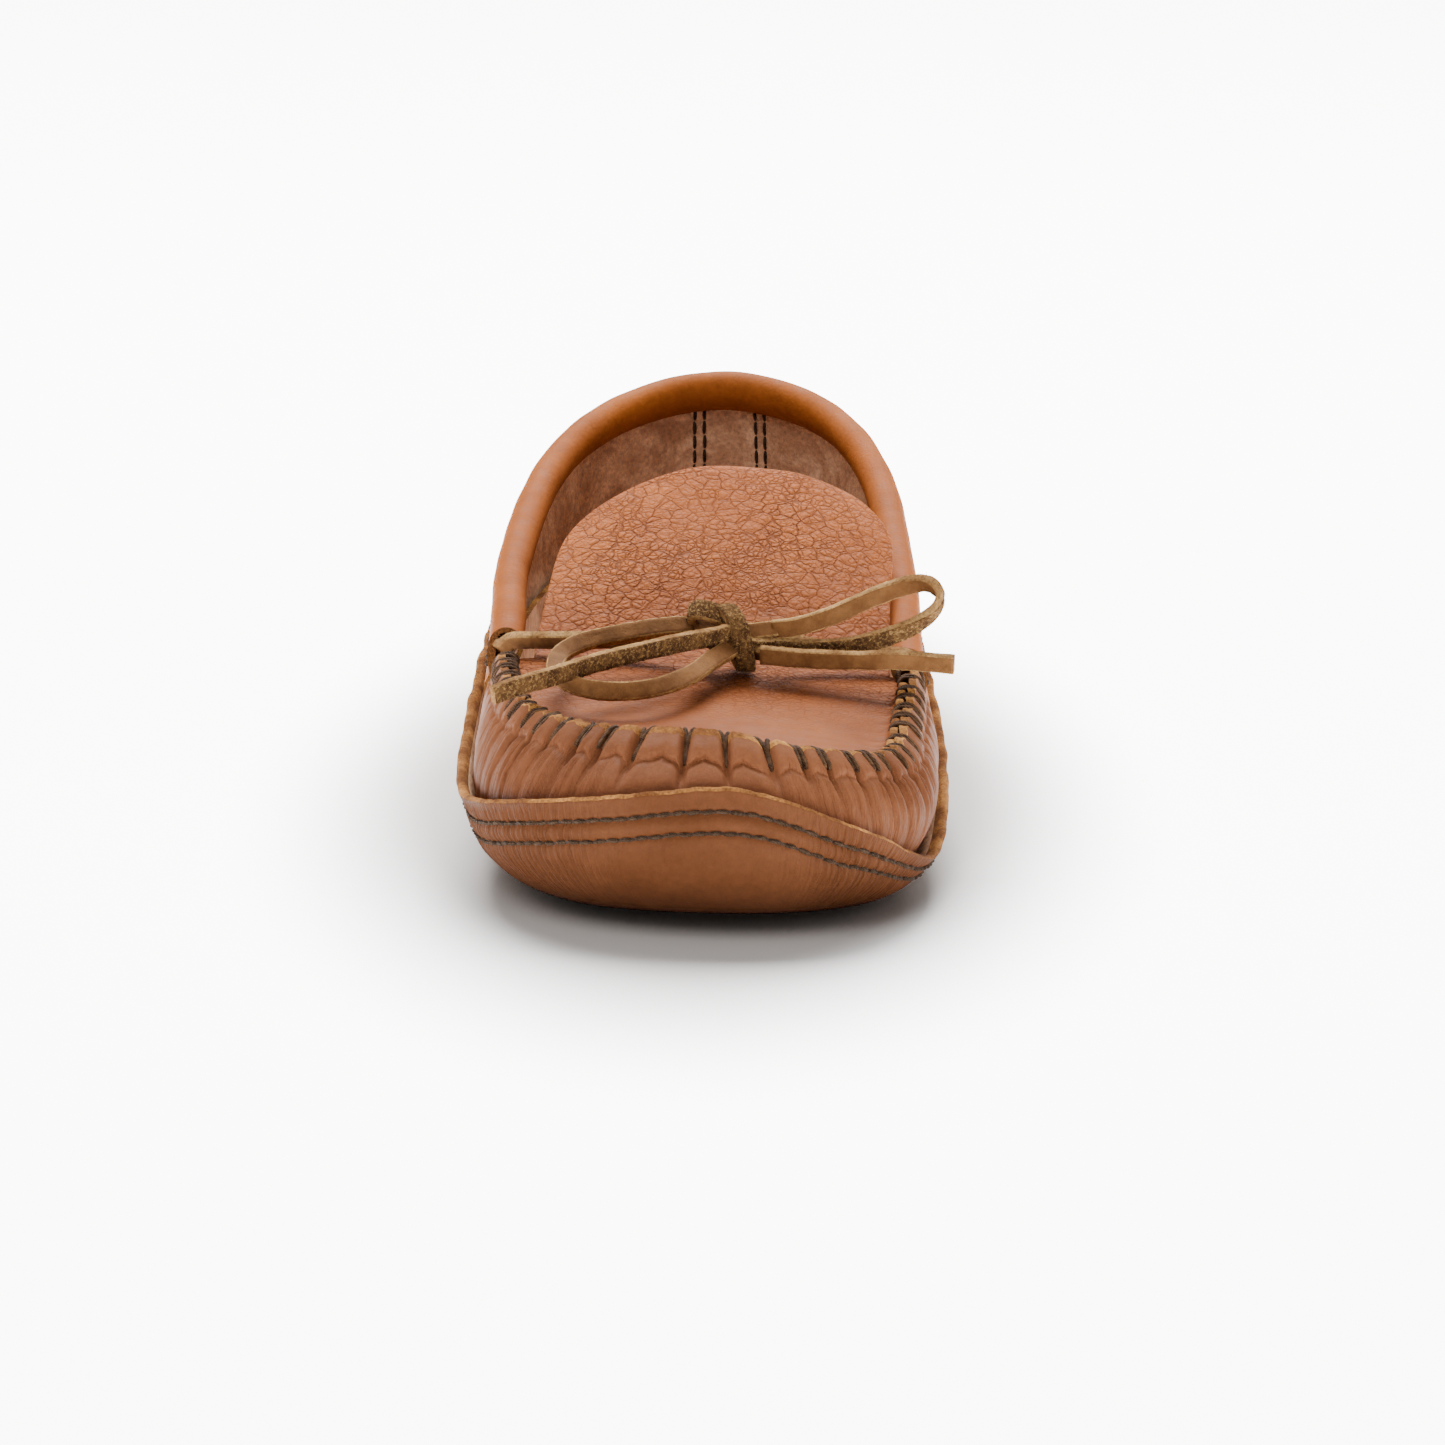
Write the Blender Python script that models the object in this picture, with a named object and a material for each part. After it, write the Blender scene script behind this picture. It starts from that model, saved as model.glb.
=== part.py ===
"""A right-foot soft moccasin with a gathered toe, a rolled collar and a leather lace tied in a bow.

Metres, +Z up, the toe towards -Y and the inner (medial) side of the foot towards +X. The origin is on the
ground under the middle of the shoe. Every leather layer follows one outline and one wall shape, which the
stations in OUTLINE give. The sole, the vamp, the plug, the footbed and their stitches are each cut across
at the ball of the foot, where a soft shoe bends: a toe piece turns, and a short ball piece between the two
cuts is the leather that creases.
"""

import math

import bmesh
import bpy
import numpy as np

MM = 0.001

# Driving dimensions
LENGTH = 272 * MM
LEATHER = 1.8 * MM
SOLE_LEATHER = 2.0 * MM
FOAM = 3.0 * MM
GAP = 0.3 * MM  # between pieces that touch
LACE_RADIUS = 1.6 * MM
THREAD_RADIUS = 0.4 * MM
COLLAR_ROLL = 3.9 * MM  # outer radius of the rolled collar
COLLAR_HEM = 11 * MM  # how far the roll's inner leg comes down
COLLAR_FRONT_TOP, COLLAR_HEEL_TOP = 45.5 * MM, 78 * MM
COLLAR_TILT = 0.045  # the collar's medial front end is lower than its lateral one
TOE_SPRING = 0.125  # rise of the toe for each unit in front of the ball

# Places along the shoe, measured back from the toe tip
BALL_FRONT, BALL_BACK = 44 * MM, 84 * MM
SEAM_END = 93 * MM
TONGUE_ROOT = 100 * MM
FOLD_GAP = 2 * MM  # from the tongue's fold line to the rigid leather on each side of it
COLLAR_START = 104 * MM

# Heights of the stacked bottom layers
PAD_LOW = SOLE_LEATHER + GAP
VAMP_LOW = PAD_LOW + FOAM + GAP
FOOTBED_LOW = VAMP_LOW + LEATHER + GAP

# How far each wall layer lies inside the outline
SOLE_INSET = 0.0
BODY_INSET = SOLE_LEATHER + GAP
VAMP_REAR_INSET = BODY_INSET + LEATHER + 0.7 * MM
VAMP_REAR_TOP = 35.5 * MM

# The stations of the outline, from the heel round the medial side to the toe and back, in millimetres:
# across, back from the toe, the width of the rounded edge underneath, the height where the wall is widest,
# the height of the outer sole's edge, how far the wall leans in at its rim, and the height of the rim.
OUTLINE = (
    (3.0, 272, 24, 24, 34, 0, 43),
    (25.5, 262, 22, 24, 33, 0, 43),
    (39.5, 240, 18, 24, 32, 0, 43),
    (46.3, 200, 16, 25, 32, 0, 43),
    (49.5, 150, 16, 26, 28, 0, 42),
    (52.5, 98, 18, 26, 20, 3, 41),
    (53.0, 60, 20, 24, 14, 6, 37.5),
    (49.5, 30, 20, 21, 10.5, 7, 33.5),
    (33.0, 8, 22, 19, 19.5, 9, 35.5),
    (8.0, 0, 23, 18, 29, 12, 38.8),
    (-21.0, 5, 25, 19, 26.8, 14, 39.5),
    (-41.5, 20, 26, 21, 24.5, 12, 40.5),
    (-52.0, 46, 24, 23, 22.5, 9, 42.5),
    (-53.5, 82, 20, 24, 26, 5, 44),
    (-50.5, 150, 16, 26, 35, 0, 44),
    (-45.3, 200, 16, 25, 35, 0, 43),
    (-35.8, 240, 18, 24, 34, 0, 43),
    (-20.0, 262, 22, 24, 34, 0, 43),
)
SPINE_FRONT, SPINE_BACK = 48 * MM, 226 * MM  # the middle line that the layers shrink towards
SPINE_ACROSS = 1.0 * MM
MIDDLE = 1.2 * MM  # sets the origin under the middle of the shoe's width
AROUND = 60  # stations that the lofts use round the outline

LEATHER_COLOUR = (0.42, 0.19, 0.10, 1)
SUEDE_COLOUR = (0.36, 0.18, 0.09, 1)
LACE_COLOUR = (0.38, 0.22, 0.09, 1)
THREAD_COLOUR = (0.10, 0.07, 0.05, 1)
FOAM_COLOUR = (0.60, 0.55, 0.45, 1)


# ---------------------------------------------------------------- outline


def smooth(value, start, end):
    """0 before start, 1 after end, and a smooth step between."""
    t = np.clip((value - start) / (end - start), 0, 1)
    return t * t * (3 - 2 * t)


def catmull_rom(rows, closed, steps=24):
    """Points of a smooth curve through the rows, steps of them for each stretch."""
    rows = np.array(rows, float)
    count = len(rows)
    found = []
    for i in range(count if closed else count - 1):
        if closed:
            p0, p1, p2, p3 = (rows[(i + k) % count] for k in (-1, 0, 1, 2))
        else:
            p1, p2 = rows[i], rows[i + 1]
            p0 = rows[i - 1] if i else 2 * p1 - p2
            p3 = rows[i + 2] if i + 2 < count else 2 * p2 - p1
        for t in np.arange(steps) / steps:
            found.append(
                0.5
                * (
                    2 * p1
                    + (p2 - p0) * t
                    + (2 * p0 - 5 * p1 + 4 * p2 - p3) * t**2
                    + (3 * p1 - p0 - 3 * p2 + p3) * t**3
                )
            )
    if not closed:
        found.append(rows[-1])
    return np.array(found)


def place(across, back, height):
    """A point given across, back from the toe tip and up, in the shoe's frame."""
    return np.array([across + MIDDLE, back - LENGTH / 2, height], float)


def sprung(point):
    """The point raised by the toe's spring, if it is in front of the ball."""
    x, y, z = point
    return np.array([x, y, z + TOE_SPRING * max(0.0, BALL_FRONT - LENGTH / 2 - y)])


class Station:
    """What the outline says at one place round the shoe."""

    def __init__(self, values):
        self.across, self.back, self.roll, self.wide, self.edge, self.lean, self.rim = values
        middle = np.array([SPINE_ACROSS, np.clip(self.back, SPINE_FRONT, SPINE_BACK)])
        inward = middle - values[:2]
        self.inward = inward / np.linalg.norm(inward)
        backward = (self.back - COLLAR_START) / (LENGTH - COLLAR_START)
        tilt = COLLAR_TILT * self.across * (1 - backward)
        self.collar = COLLAR_FRONT_TOP + (COLLAR_HEEL_TOP - COLLAR_FRONT_TOP) * backward - tilt
        front_lean = 3 * (1 - smooth(self.back, COLLAR_START, 150 * MM))
        self.collar_lean = (-1 + front_lean + 4.5 * smooth(self.back, 200 * MM, LENGTH)) * MM

    def at(self, inset, height):
        """The point this far inside the outline, at this height."""
        across, back = np.array([self.across, self.back]) + self.inward * inset
        return place(across, back, height)

    def rounded(self, height, inset, low):
        """How much further in the rounded edge underneath takes a layer that starts at low."""
        under = np.clip((self.wide - height) / (self.wide - low), 0, 1)
        return (self.roll - inset) * (1 - math.sqrt(1 - under**2))

    def wall(self, height, inset, low):
        """How far inside the outline a layer's wall is at a height."""
        above = max(0.0, (height - self.wide) / (self.rim - self.wide))
        return inset + self.rounded(height, inset, low) + self.lean * above**2

    def quarter_wall(self, height, further=0.0):
        """How far inside the outline the quarter's face is, this much further in than its outside."""
        above = max(0.0, (height - self.wide) / (self.collar - self.wide))
        inset = BODY_INSET + further
        return inset + self.rounded(height, inset, inset) + self.collar_lean * above**2

    def vamp_inset(self):
        """The vamp steps in behind the seam's end, to run inside the quarter."""
        behind = smooth(self.back, SEAM_END - 6 * MM, COLLAR_START - 1 * MM)
        return BODY_INSET + (VAMP_REAR_INSET - BODY_INSET) * behind

    def vamp_top(self):
        """The vamp's wall reaches the seam in front, and stays low inside the quarter."""
        behind = smooth(self.back, SEAM_END, COLLAR_START - 2 * MM)
        return self.rim + (VAMP_REAR_TOP - self.rim) * behind


class Outline:
    """The closed outline, read by a fraction of its length: 0 at the heel, rising along the medial side."""

    def __init__(self, rows):
        self.rows = catmull_rom(np.array(rows, float) * MM, closed=True)
        steps = np.linalg.norm(np.diff(self.rows[:, :2], axis=0, append=self.rows[:1, :2]), axis=1)
        self.along = np.concatenate([[0], np.cumsum(steps)])
        self.length = self.along[-1]
        self.along /= self.length
        self.toe = self.along[self.rows[:, 1].argmin()]

    def station(self, fraction):
        looped = np.concatenate([self.rows, self.rows[:1]])
        wrapped = fraction % 1.0
        return Station(np.array([np.interp(wrapped, self.along, column) for column in looped.T]))

    def fraction(self, back, medial):
        """Where the outline passes a distance back from the toe, on one side."""
        choices = np.linspace(0, self.toe, 4000) if medial else np.linspace(self.toe, 1, 4000)
        looped = np.append(self.rows[:, 1], self.rows[0, 1])
        backs = np.interp(choices, self.along, looped)
        return float(choices[np.abs(backs - back).argmin()])

    def fractions(self):
        """Where every loft has its stations, closer together where the seam ends, so that layers nest."""
        wanted = list(np.arange(AROUND) / AROUND)
        for medial in (True, False):
            near = [self.fraction(back * MM, medial) for back in (90, 93, 97, 101, 104)]
            wanted = [w for w in wanted if min(abs(w - n) for n in near) > 0.006] + near
        return sorted(wanted)

    def loop(self):
        return [self.station(f) for f in self.fractions()]

    def stretch(self, start, end):
        """The lofts' own stations between two fractions, with the two ends. Above 1 is past the heel."""
        both = self.fractions() + [f + 1 for f in self.fractions()]
        inside = [f for f in both if start + 0.004 < f < end - 0.004]
        return [self.station(f) for f in [start, *inside, end]]

    def run(self, start, end, spacing):
        """Evenly spaced stations from one fraction to another, past the heel if end is above 1."""
        count = max(3, round(self.length * (end - start) / spacing) + 1)
        return [self.station(f) for f in np.linspace(start, end, count)]


SHOE = Outline(OUTLINE)


# ---------------------------------------------------------------- building


def clear_scene():
    for obj in list(bpy.data.objects):
        bpy.data.objects.remove(obj, do_unlink=True)


def new_collection(name):
    collection = bpy.data.collections.new(name)
    bpy.context.scene.collection.children.link(collection)
    return collection


def new_material(name, colour, roughness):
    material = bpy.data.materials.new(name)
    material.use_nodes = True
    shader = material.node_tree.nodes["Principled BSDF"]
    shader.inputs["Base Color"].default_value = colour
    shader.inputs["Roughness"].default_value = roughness
    shader.inputs["Metallic"].default_value = 0.0
    return material


clear_scene()
PARTS = new_collection("moccasin")
CUTTERS = new_collection("cutters")
GRAIN = new_material("grain_leather", LEATHER_COLOUR, 0.55)
SUEDE = new_material("suede", SUEDE_COLOUR, 0.9)
LACE = new_material("lace_leather", LACE_COLOUR, 0.8)
THREAD = new_material("waxed_thread", THREAD_COLOUR, 0.6)
PADDING = new_material("foam", FOAM_COLOUR, 0.95)


def loft(name, rings, material, collection=None):
    """A closed solid through rings of equally many points, with a flat cap at each end."""
    mesh = bpy.data.meshes.new(name)
    form = bmesh.new()
    made = [[form.verts.new(point) for point in ring] for ring in rings]
    for low, high in zip(made, made[1:]):
        for i in range(len(low)):
            j = (i + 1) % len(low)
            form.faces.new((low[i], low[j], high[j], high[i]))
    form.faces.new(list(reversed(made[0])))
    form.faces.new(made[-1])
    bmesh.ops.recalc_face_normals(form, faces=form.faces)
    form.to_mesh(mesh)
    form.free()
    mesh.materials.append(material)
    mesh.shade_smooth()
    mesh.set_sharp_from_angle(angle=math.radians(40))
    obj = bpy.data.objects.new(name, mesh)
    (collection or PARTS).objects.link(obj)
    return obj


def tube(name, points, radius, material, sides=4):
    """A round cord or thread along points, with closed ends."""
    curve = bpy.data.curves.new(name, "CURVE")
    curve.dimensions = "3D"
    curve.bevel_depth = radius
    curve.bevel_resolution = (sides - 4) // 2
    curve.use_fill_caps = True
    spline = curve.splines.new("POLY")
    spline.points.add(len(points) - 1)
    for spot, point in zip(spline.points, points):
        spot.co = (*sprung(point), 1)
    curve.materials.append(material)
    obj = bpy.data.objects.new(name, curve)
    PARTS.objects.link(obj)
    return obj


def band_cutter(name, front, back):
    """A box over the whole shoe between two distances back from the toe."""
    mesh = bpy.data.meshes.new(name)
    form = bmesh.new()
    bmesh.ops.create_cube(form, size=1)
    bmesh.ops.scale(form, vec=(0.2, back - front, 0.3), verts=form.verts)
    form.to_mesh(mesh)
    form.free()
    box = bpy.data.objects.new(name, mesh)
    box.location = place(0.0, (front + back) / 2, 0.04)
    CUTTERS.objects.link(box)
    box.hide_render = True
    box.display_type = "WIRE"
    return box


OVER = 30 * MM  # how far the outer bands run past the shoe
BANDS = {
    "toe": band_cutter("band_toe", -OVER, BALL_FRONT - GAP / 2),
    "ball": band_cutter("band_ball", BALL_FRONT + GAP / 2, BALL_BACK - GAP / 2),
    "rear": band_cutter("band_rear", BALL_BACK + GAP / 2, LENGTH + OVER),
}


def cut_at_the_ball(whole):
    """Replaces a piece by its toe, ball and rear pieces. The toe piece is sheared up to its spring."""
    name, mesh = whole.name, whole.data
    bpy.data.objects.remove(whole)
    for band, cutter in BANDS.items():
        piece = bpy.data.objects.new(f"{name}_{band}", mesh)
        cut = piece.modifiers.new("band", "BOOLEAN")
        cut.operation = "INTERSECT"
        cut.object = cutter
        PARTS.objects.link(piece)
    toe = bpy.data.objects[f"{name}_toe"]
    graph = bpy.context.evaluated_depsgraph_get()
    toe_mesh = bpy.data.meshes.new_from_object(toe.evaluated_get(graph))
    toe.modifiers.clear()
    toe.data = toe_mesh
    for vertex in toe_mesh.vertices:
        vertex.co = sprung(vertex.co)


# ---------------------------------------------------------------- bottom and walls


def wall_heights(s, low):
    """Heights up to the outer sole's edge, close together at the bottom, where the edge is rounded."""
    knee = min(s.wide, s.edge - 4 * MM)
    turns = np.linspace(0, math.pi / 2, 6)
    rising = low + (knee - low) * (1 - np.cos(turns))
    return [*rising, (knee + s.edge) / 2, s.edge]


def cup(name, stations, outer, inner):
    """A cup with rings up its outer face and down its inner one, cut at the ball."""
    faces = [np.array([side(s) for s in stations]) for side in (outer, inner)]
    up = [faces[0][:, k] for k in range(faces[0].shape[1])]
    down = [faces[1][:, k] for k in reversed(range(faces[1].shape[1]))]
    cut_at_the_ball(loft(name, up + down, GRAIN))


def outer_sole():
    def face(s, inset, low):
        return [s.at(s.wall(h, inset, low), h) for h in wall_heights(s, low)]

    cup(
        "outer_sole",
        SHOE.loop(),
        lambda s: face(s, SOLE_INSET, 0.0),
        lambda s: face(s, SOLE_INSET + SOLE_LEATHER, SOLE_LEATHER),
    )


def vamp():
    def face(s, inset, low):
        above = np.linspace(s.edge, s.vamp_top(), 4)[1:]
        return [s.at(s.wall(h, inset, low), h) for h in [*wall_heights(s, low), *above]]

    cup(
        "vamp",
        SHOE.loop(),
        lambda s: face(s, s.vamp_inset(), VAMP_LOW),
        lambda s: face(s, s.vamp_inset() + LEATHER, VAMP_LOW + LEATHER),
    )


def flat_plate(name, low, thickness, material):
    """A plate inside the rounded edge of the bottom."""
    stations = SHOE.loop()[::2]
    rings = [[s.at(s.roll + 0.5 * MM, h) for s in stations] for h in (low, low + thickness)]
    cut_at_the_ball(loft(name, rings, material))


# ---------------------------------------------------------------- plug and tongue

PLUG_FRONT, PLUG_REAR = 34 * MM, 41.5 * MM  # the plug's height at its front and at the tongue's root
PLUG_TILT = 0.05  # the plug tips down to the medial side
PLUG_CROWN = 2.0 * MM
TONGUE_LENGTH = 66 * MM
TONGUE_SLOPE = math.radians(26.5)
TONGUE_HALF_WIDTH = 39.5 * MM
TONGUE_CROWN = 4.0 * MM


def plug_height(across, back):
    share = (back - 16 * MM) / (TONGUE_ROOT - 16 * MM)
    crown = PLUG_CROWN * (1 - (across / (40 * MM)) ** 2)
    return PLUG_FRONT + (PLUG_REAR - PLUG_FRONT) * share - PLUG_TILT * across + crown


def plug():
    """The apron: its edge is turned up inside the vamp's rim and its rear edge is straight."""
    ends = [SHOE.fraction(SEAM_END - 1 * MM, medial) for medial in (True, False)]
    seam = SHOE.run(ends[0], ends[1], 7 * MM)
    outside, inside, foot = [], [], []
    for s in seam:
        inset = s.vamp_inset() + LEATHER + GAP + s.lean
        up = 1 - smooth(s.back, SEAM_END - 16 * MM, SEAM_END - 2 * MM)
        rows = ((outside, 0.0, up), (inside, LEATHER, up), (foot, 5 * MM, 0.0))
        for found, further, share in rows:
            x, y, _ = s.at(inset + further, 0)
            flat = plug_height(x, y + LENGTH / 2)
            found.append([x, y, flat + share * (s.rim - 0.5 * MM - flat)])
    for found in (outside, inside, foot):
        left, right = np.array(found[-1]), np.array(found[0])
        back = TONGUE_ROOT - FOLD_GAP - LENGTH / 2
        for t in np.linspace(0, 1, 7):
            x = left[0] + (right[0] - left[0]) * t
            found.append([x, back, plug_height(x, TONGUE_ROOT)])
    middle = np.array([0.0, 58 * MM - LENGTH / 2, 0.0])

    def shrunk(ring, share, drop):
        rows = []
        for x, y, _ in ring:
            px, py = middle[:2] + (np.array([x, y]) - middle[:2]) * share
            rows.append([px, py, plug_height(px, py + LENGTH / 2) - drop])
        return rows

    def lowered(ring):
        return [[x, y, z - LEATHER] for x, y, z in ring]

    rings = [shrunk(foot, 0.15, 0), shrunk(foot, 0.6, 0), foot, inside, outside]
    rings += [lowered(outside), shrunk(outside, 0.93, LEATHER), shrunk(foot, 0.6, LEATHER)]
    rings.append(shrunk(foot, 0.15, LEATHER))
    cut_at_the_ball(loft("plug", rings, GRAIN))


def tongue():
    """A loft from the root to the rounded tip, crowned across."""
    rings = []
    for t in np.concatenate([np.linspace(0, 0.85, 9), [0.92, 0.965, 0.99]]):
        narrow = 0.06 * t
        tip = math.sqrt(1 - (max(0.0, t - 0.55) / 0.45) ** 2.6)
        half = TONGUE_HALF_WIDTH * (1 - narrow) * tip
        along = t * TONGUE_LENGTH
        lift = along * math.sin(TONGUE_SLOPE) * smooth(t, -0.6, 0.35)
        middle = 1 * MM + 3 * MM * t
        top = []
        for share in np.linspace(-1, 1, 9):
            x = middle + half * share
            crown = TONGUE_CROWN * t * (1 - (x / TONGUE_HALF_WIDTH) ** 2)
            back = TONGUE_ROOT + FOLD_GAP + along * math.cos(TONGUE_SLOPE)
            base = plug_height(x, TONGUE_ROOT) + (1.6 * PLUG_TILT * x - 2.0 * MM) * t
            top.append(place(x, back, base + lift + crown))
        under = [p - np.array([0, -math.sin(TONGUE_SLOPE) * t, 1]) * LEATHER for p in top]
        rings.append(top + under[::-1])
    loft("tongue", rings, GRAIN)


# ---------------------------------------------------------------- quarter, collar and heel


def arc(centre_inset, centre_height, radius, count):
    """Half a circle over the top, from the outer side to the inner one, as (inset, height)."""
    return [
        (centre_inset - radius * math.cos(a), centre_height + radius * math.sin(a))
        for a in np.linspace(0, math.pi, count)
    ]


def quarter_section(s):
    """The quarter's cut: up from behind the sole's edge, over the lace and down inside as a hem."""
    low = s.edge - 9 * MM
    top = s.collar - COLLAR_ROLL
    shift = s.quarter_wall(top)
    heights = np.linspace(low, top, 4)[:-1]
    outer = [(s.quarter_wall(h), h) for h in heights]
    inner = [(s.quarter_wall(h, LEATHER), h) for h in heights]
    over = arc(shift + COLLAR_ROLL, top, COLLAR_ROLL, 6)
    under = arc(shift + COLLAR_ROLL, top, COLLAR_ROLL - LEATHER, 5)
    hem = s.collar - COLLAR_HEM
    outline = outer + over + [(over[-1][0], hem), (under[-1][0], hem)] + under[::-1] + inner[::-1]
    return [s.at(inset, height) for inset, height in outline]


def collar_span():
    """The collar's lateral front end and, round the heel, its medial one."""
    return SHOE.fraction(COLLAR_START, medial=False), 1 + SHOE.fraction(COLLAR_START, medial=True)


def quarter():
    loft("quarter", [quarter_section(s) for s in SHOE.stretch(*collar_span())], GRAIN)


HEEL_STRIP_HALF = 14 * MM
HEEL_STRIP_THICK = 1.4 * MM
HEEL_ROWS = {
    "lateral_outer": -11 * MM,
    "lateral_inner": -8 * MM,
    "medial_inner": 8 * MM,
    "medial_outer": 11 * MM,
}


def heel_span():
    """Heights of the heel strip, from above the sole's edge to under the collar."""
    s = SHOE.station(0)
    return s.edge + 2 * MM, s.collar - 12 * MM


def heel_strip():
    """A strip over the back of the quarter."""
    low, high = heel_span()
    reach = HEEL_STRIP_HALF / SHOE.length
    rings = []
    for fraction in np.linspace(-reach, reach, 7):
        s = SHOE.station(fraction)
        heights = np.linspace(low, high, 4)
        face = [(s.quarter_wall(h) - GAP, h) for h in heights]
        skin = [(inset - HEEL_STRIP_THICK, h) for inset, h in face]
        rings.append([s.at(i, h) for i, h in face + skin[::-1]])
    loft("heel_strip", rings, GRAIN)


# ---------------------------------------------------------------- stitches


def heel_stitches():
    low, high = heel_span()
    for name, across in HEEL_ROWS.items():
        s = SHOE.station(across / SHOE.length)
        proud = 2 * GAP + HEEL_STRIP_THICK + THREAD_RADIUS
        heights = np.linspace(low + 1 * MM, high - 1 * MM, 6)
        points = [s.at(s.quarter_wall(h) - proud, h) for h in heights]
        tube(f"heel_stitch_{name}", points, THREAD_RADIUS, THREAD)


def hem_stitch():
    """The row that closes the collar's lace channel, on the quarter's outer face."""
    points = []
    for s in SHOE.run(*collar_span(), 9 * MM)[1:-1]:
        height = s.collar - COLLAR_HEM + 1.5 * MM
        points.append(s.at(s.quarter_wall(height) - GAP - THREAD_RADIUS, height))
    tube("hem_stitch", points, THREAD_RADIUS, THREAD)


SPLITS = {
    medial: [SHOE.fraction(b, medial) for b in (BALL_BACK, BALL_FRONT)] for medial in (True, False)
}


def stretches():
    """Names and fractions of a row's stretches, with a small gap at each cut."""
    gap = 0.6 * MM / SHOE.length
    medial_back, medial_front = SPLITS[True]
    lateral_back, lateral_front = SPLITS[False]
    return {
        "toe": (medial_front + gap, lateral_front - gap),
        "ball_medial": (medial_back + gap, medial_front - gap),
        "ball_lateral": (lateral_front + gap, lateral_back - gap),
        "rear": (lateral_back + gap, 1 + medial_back - gap),
    }


SOLE_ROWS = {"upper": 4.5 * MM, "lower": 9 * MM}  # below the sole's edge
SOLE_ROWS_WIDE = 22 * MM  # the rows draw together where the edge is lower than this


def sole_stitches():
    for row, below in SOLE_ROWS.items():
        for stretch, (start, end) in stretches().items():
            points = []
            for s in SHOE.run(start, end, 8 * MM):
                height = s.edge - below * min(1, s.edge / SOLE_ROWS_WIDE)
                proud = 1.5 * GAP + THREAD_RADIUS
                points.append(s.at(s.wall(height, SOLE_INSET, 0.0) - proud, height))
            tube(f"sole_stitch_{row}_{stretch}", points, THREAD_RADIUS, THREAD)


SEAM_PITCH = 7.5 * MM
SEAM_THREAD_RADIUS = 0.6 * MM


def seam_thread():
    """The waxed thread that waves from side to side over the plug's and the vamp's turned-up edges."""
    gap = 0.8 * MM / SHOE.length
    ends = [SHOE.fraction(SEAM_END - 4 * MM, medial) for medial in (True, False)]
    parts = stretches()
    spans = {
        "toe": parts["toe"],
        "ball_medial": parts["ball_medial"],
        "ball_lateral": parts["ball_lateral"],
        "rear_medial": (ends[0], SPLITS[True][0] - gap),
        "rear_lateral": (SPLITS[False][0] + gap, ends[1]),
    }
    for stretch, (start, end) in spans.items():
        points = []
        for k, s in enumerate(SHOE.run(start, end, SEAM_PITCH / 4)):
            middle = s.vamp_inset() + s.lean + LEATHER
            side = 1.4 * MM * math.sin(k * math.pi / 2)
            points.append(s.at(middle + side, s.rim + 2 * GAP + SEAM_THREAD_RADIUS))
        tube(f"seam_thread_{stretch}", points, SEAM_THREAD_RADIUS, THREAD)


# ---------------------------------------------------------------- lace

KNOT = (6.0, 85, 49.0)
KNOT_RADII = (6.5 * MM, 4.5 * MM, 5.5 * MM)

# Routes of the bow, in millimetres across, back from the toe and up. Each starts and ends at the knot.
LATERAL_LOOP = (
    (-3.5, 86, 52.2),
    (-10, 84, 52.2),
    (-18.5, 80, 51.7),
    (-27.4, 76, 50.5),
    (-32.2, 69, 49.2),
    (-32.6, 58, 47.7),
    (-28.1, 51, 46.2),
    (-20.3, 48, 45.7),
    (-11.5, 51, 45.8),
    (-4.0, 60, 46.5),
    (0.5, 71, 47.2),
)
MEDIAL_LOOP = (
    (14.5, 84, 51.8),
    (19.6, 83, 52.6),
    (27.6, 85, 54.7),
    (36.7, 88, 58.2),
    (44.5, 87, 61.2),
    (49.1, 83, 62.2),
    (51.3, 81, 59.7),
    (48.9, 82, 55.2),
    (42.2, 83, 51.2),
    (32.1, 82, 48.5),
    (22.0, 82, 47.7),
    (15.0, 83, 48.0),
)
LATERAL_TAIL = (
    (2.2, 78.5, 51.4),
    (-3.9, 73, 51.5),
    (-13.8, 64, 51.2),
    (-23.7, 57, 50.2),
    (-33.5, 48, 49.0),
    (-41.1, 43, 47.9),
    (-46.1, 40, 46.6),
)
MEDIAL_TAIL = (
    (11.8, 79.5, 47.0),
    (20.8, 77.5, 46.6),
    (32.0, 76.5, 46.4),
    (43.2, 76.5, 46.4),
    (54.4, 75, 45.8),
)


def route(points, spacing=6 * MM):
    """Evenly spaced points of a smooth curve through a route's own points."""
    fine = catmull_rom(np.array(points, float) * MM, closed=False)
    along = np.concatenate([[0], np.cumsum(np.linalg.norm(np.diff(fine, axis=0), axis=1))])
    wanted = np.linspace(0, along[-1], max(4, round(along[-1] / spacing) + 1))
    rows = np.stack([np.interp(wanted, along, column) for column in fine.T], axis=1)
    return [place(*row) for row in rows]


def knot():
    mesh = bpy.data.meshes.new("lace_knot")
    form = bmesh.new()
    bmesh.ops.create_uvsphere(form, u_segments=14, v_segments=8, radius=1)
    bmesh.ops.scale(form, vec=KNOT_RADII, verts=form.verts)
    form.to_mesh(mesh)
    form.free()
    mesh.materials.append(LACE)
    mesh.shade_smooth()
    obj = bpy.data.objects.new("lace_knot", mesh)
    obj.location = place(*np.array(KNOT) * MM)
    PARTS.objects.link(obj)


def bow():
    knot()
    for name, points in (
        ("lace_loop_lateral", LATERAL_LOOP),
        ("lace_loop_medial", MEDIAL_LOOP),
        ("lace_tail_lateral", LATERAL_TAIL),
        ("lace_tail_medial", MEDIAL_TAIL),
    ):
        tube(name, route(points), LACE_RADIUS, LACE, sides=8)


def lace_band():
    """The lace inside the collar's channel, from one front end round the heel to the other."""
    points = []
    for s in SHOE.stretch(*collar_span()):
        height = s.collar - COLLAR_ROLL - 0.2 * MM
        points.append(s.at(s.quarter_wall(height) + COLLAR_ROLL, height))
    tube("lace_in_collar", points, LACE_RADIUS, LACE, sides=8)
    return points


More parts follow.
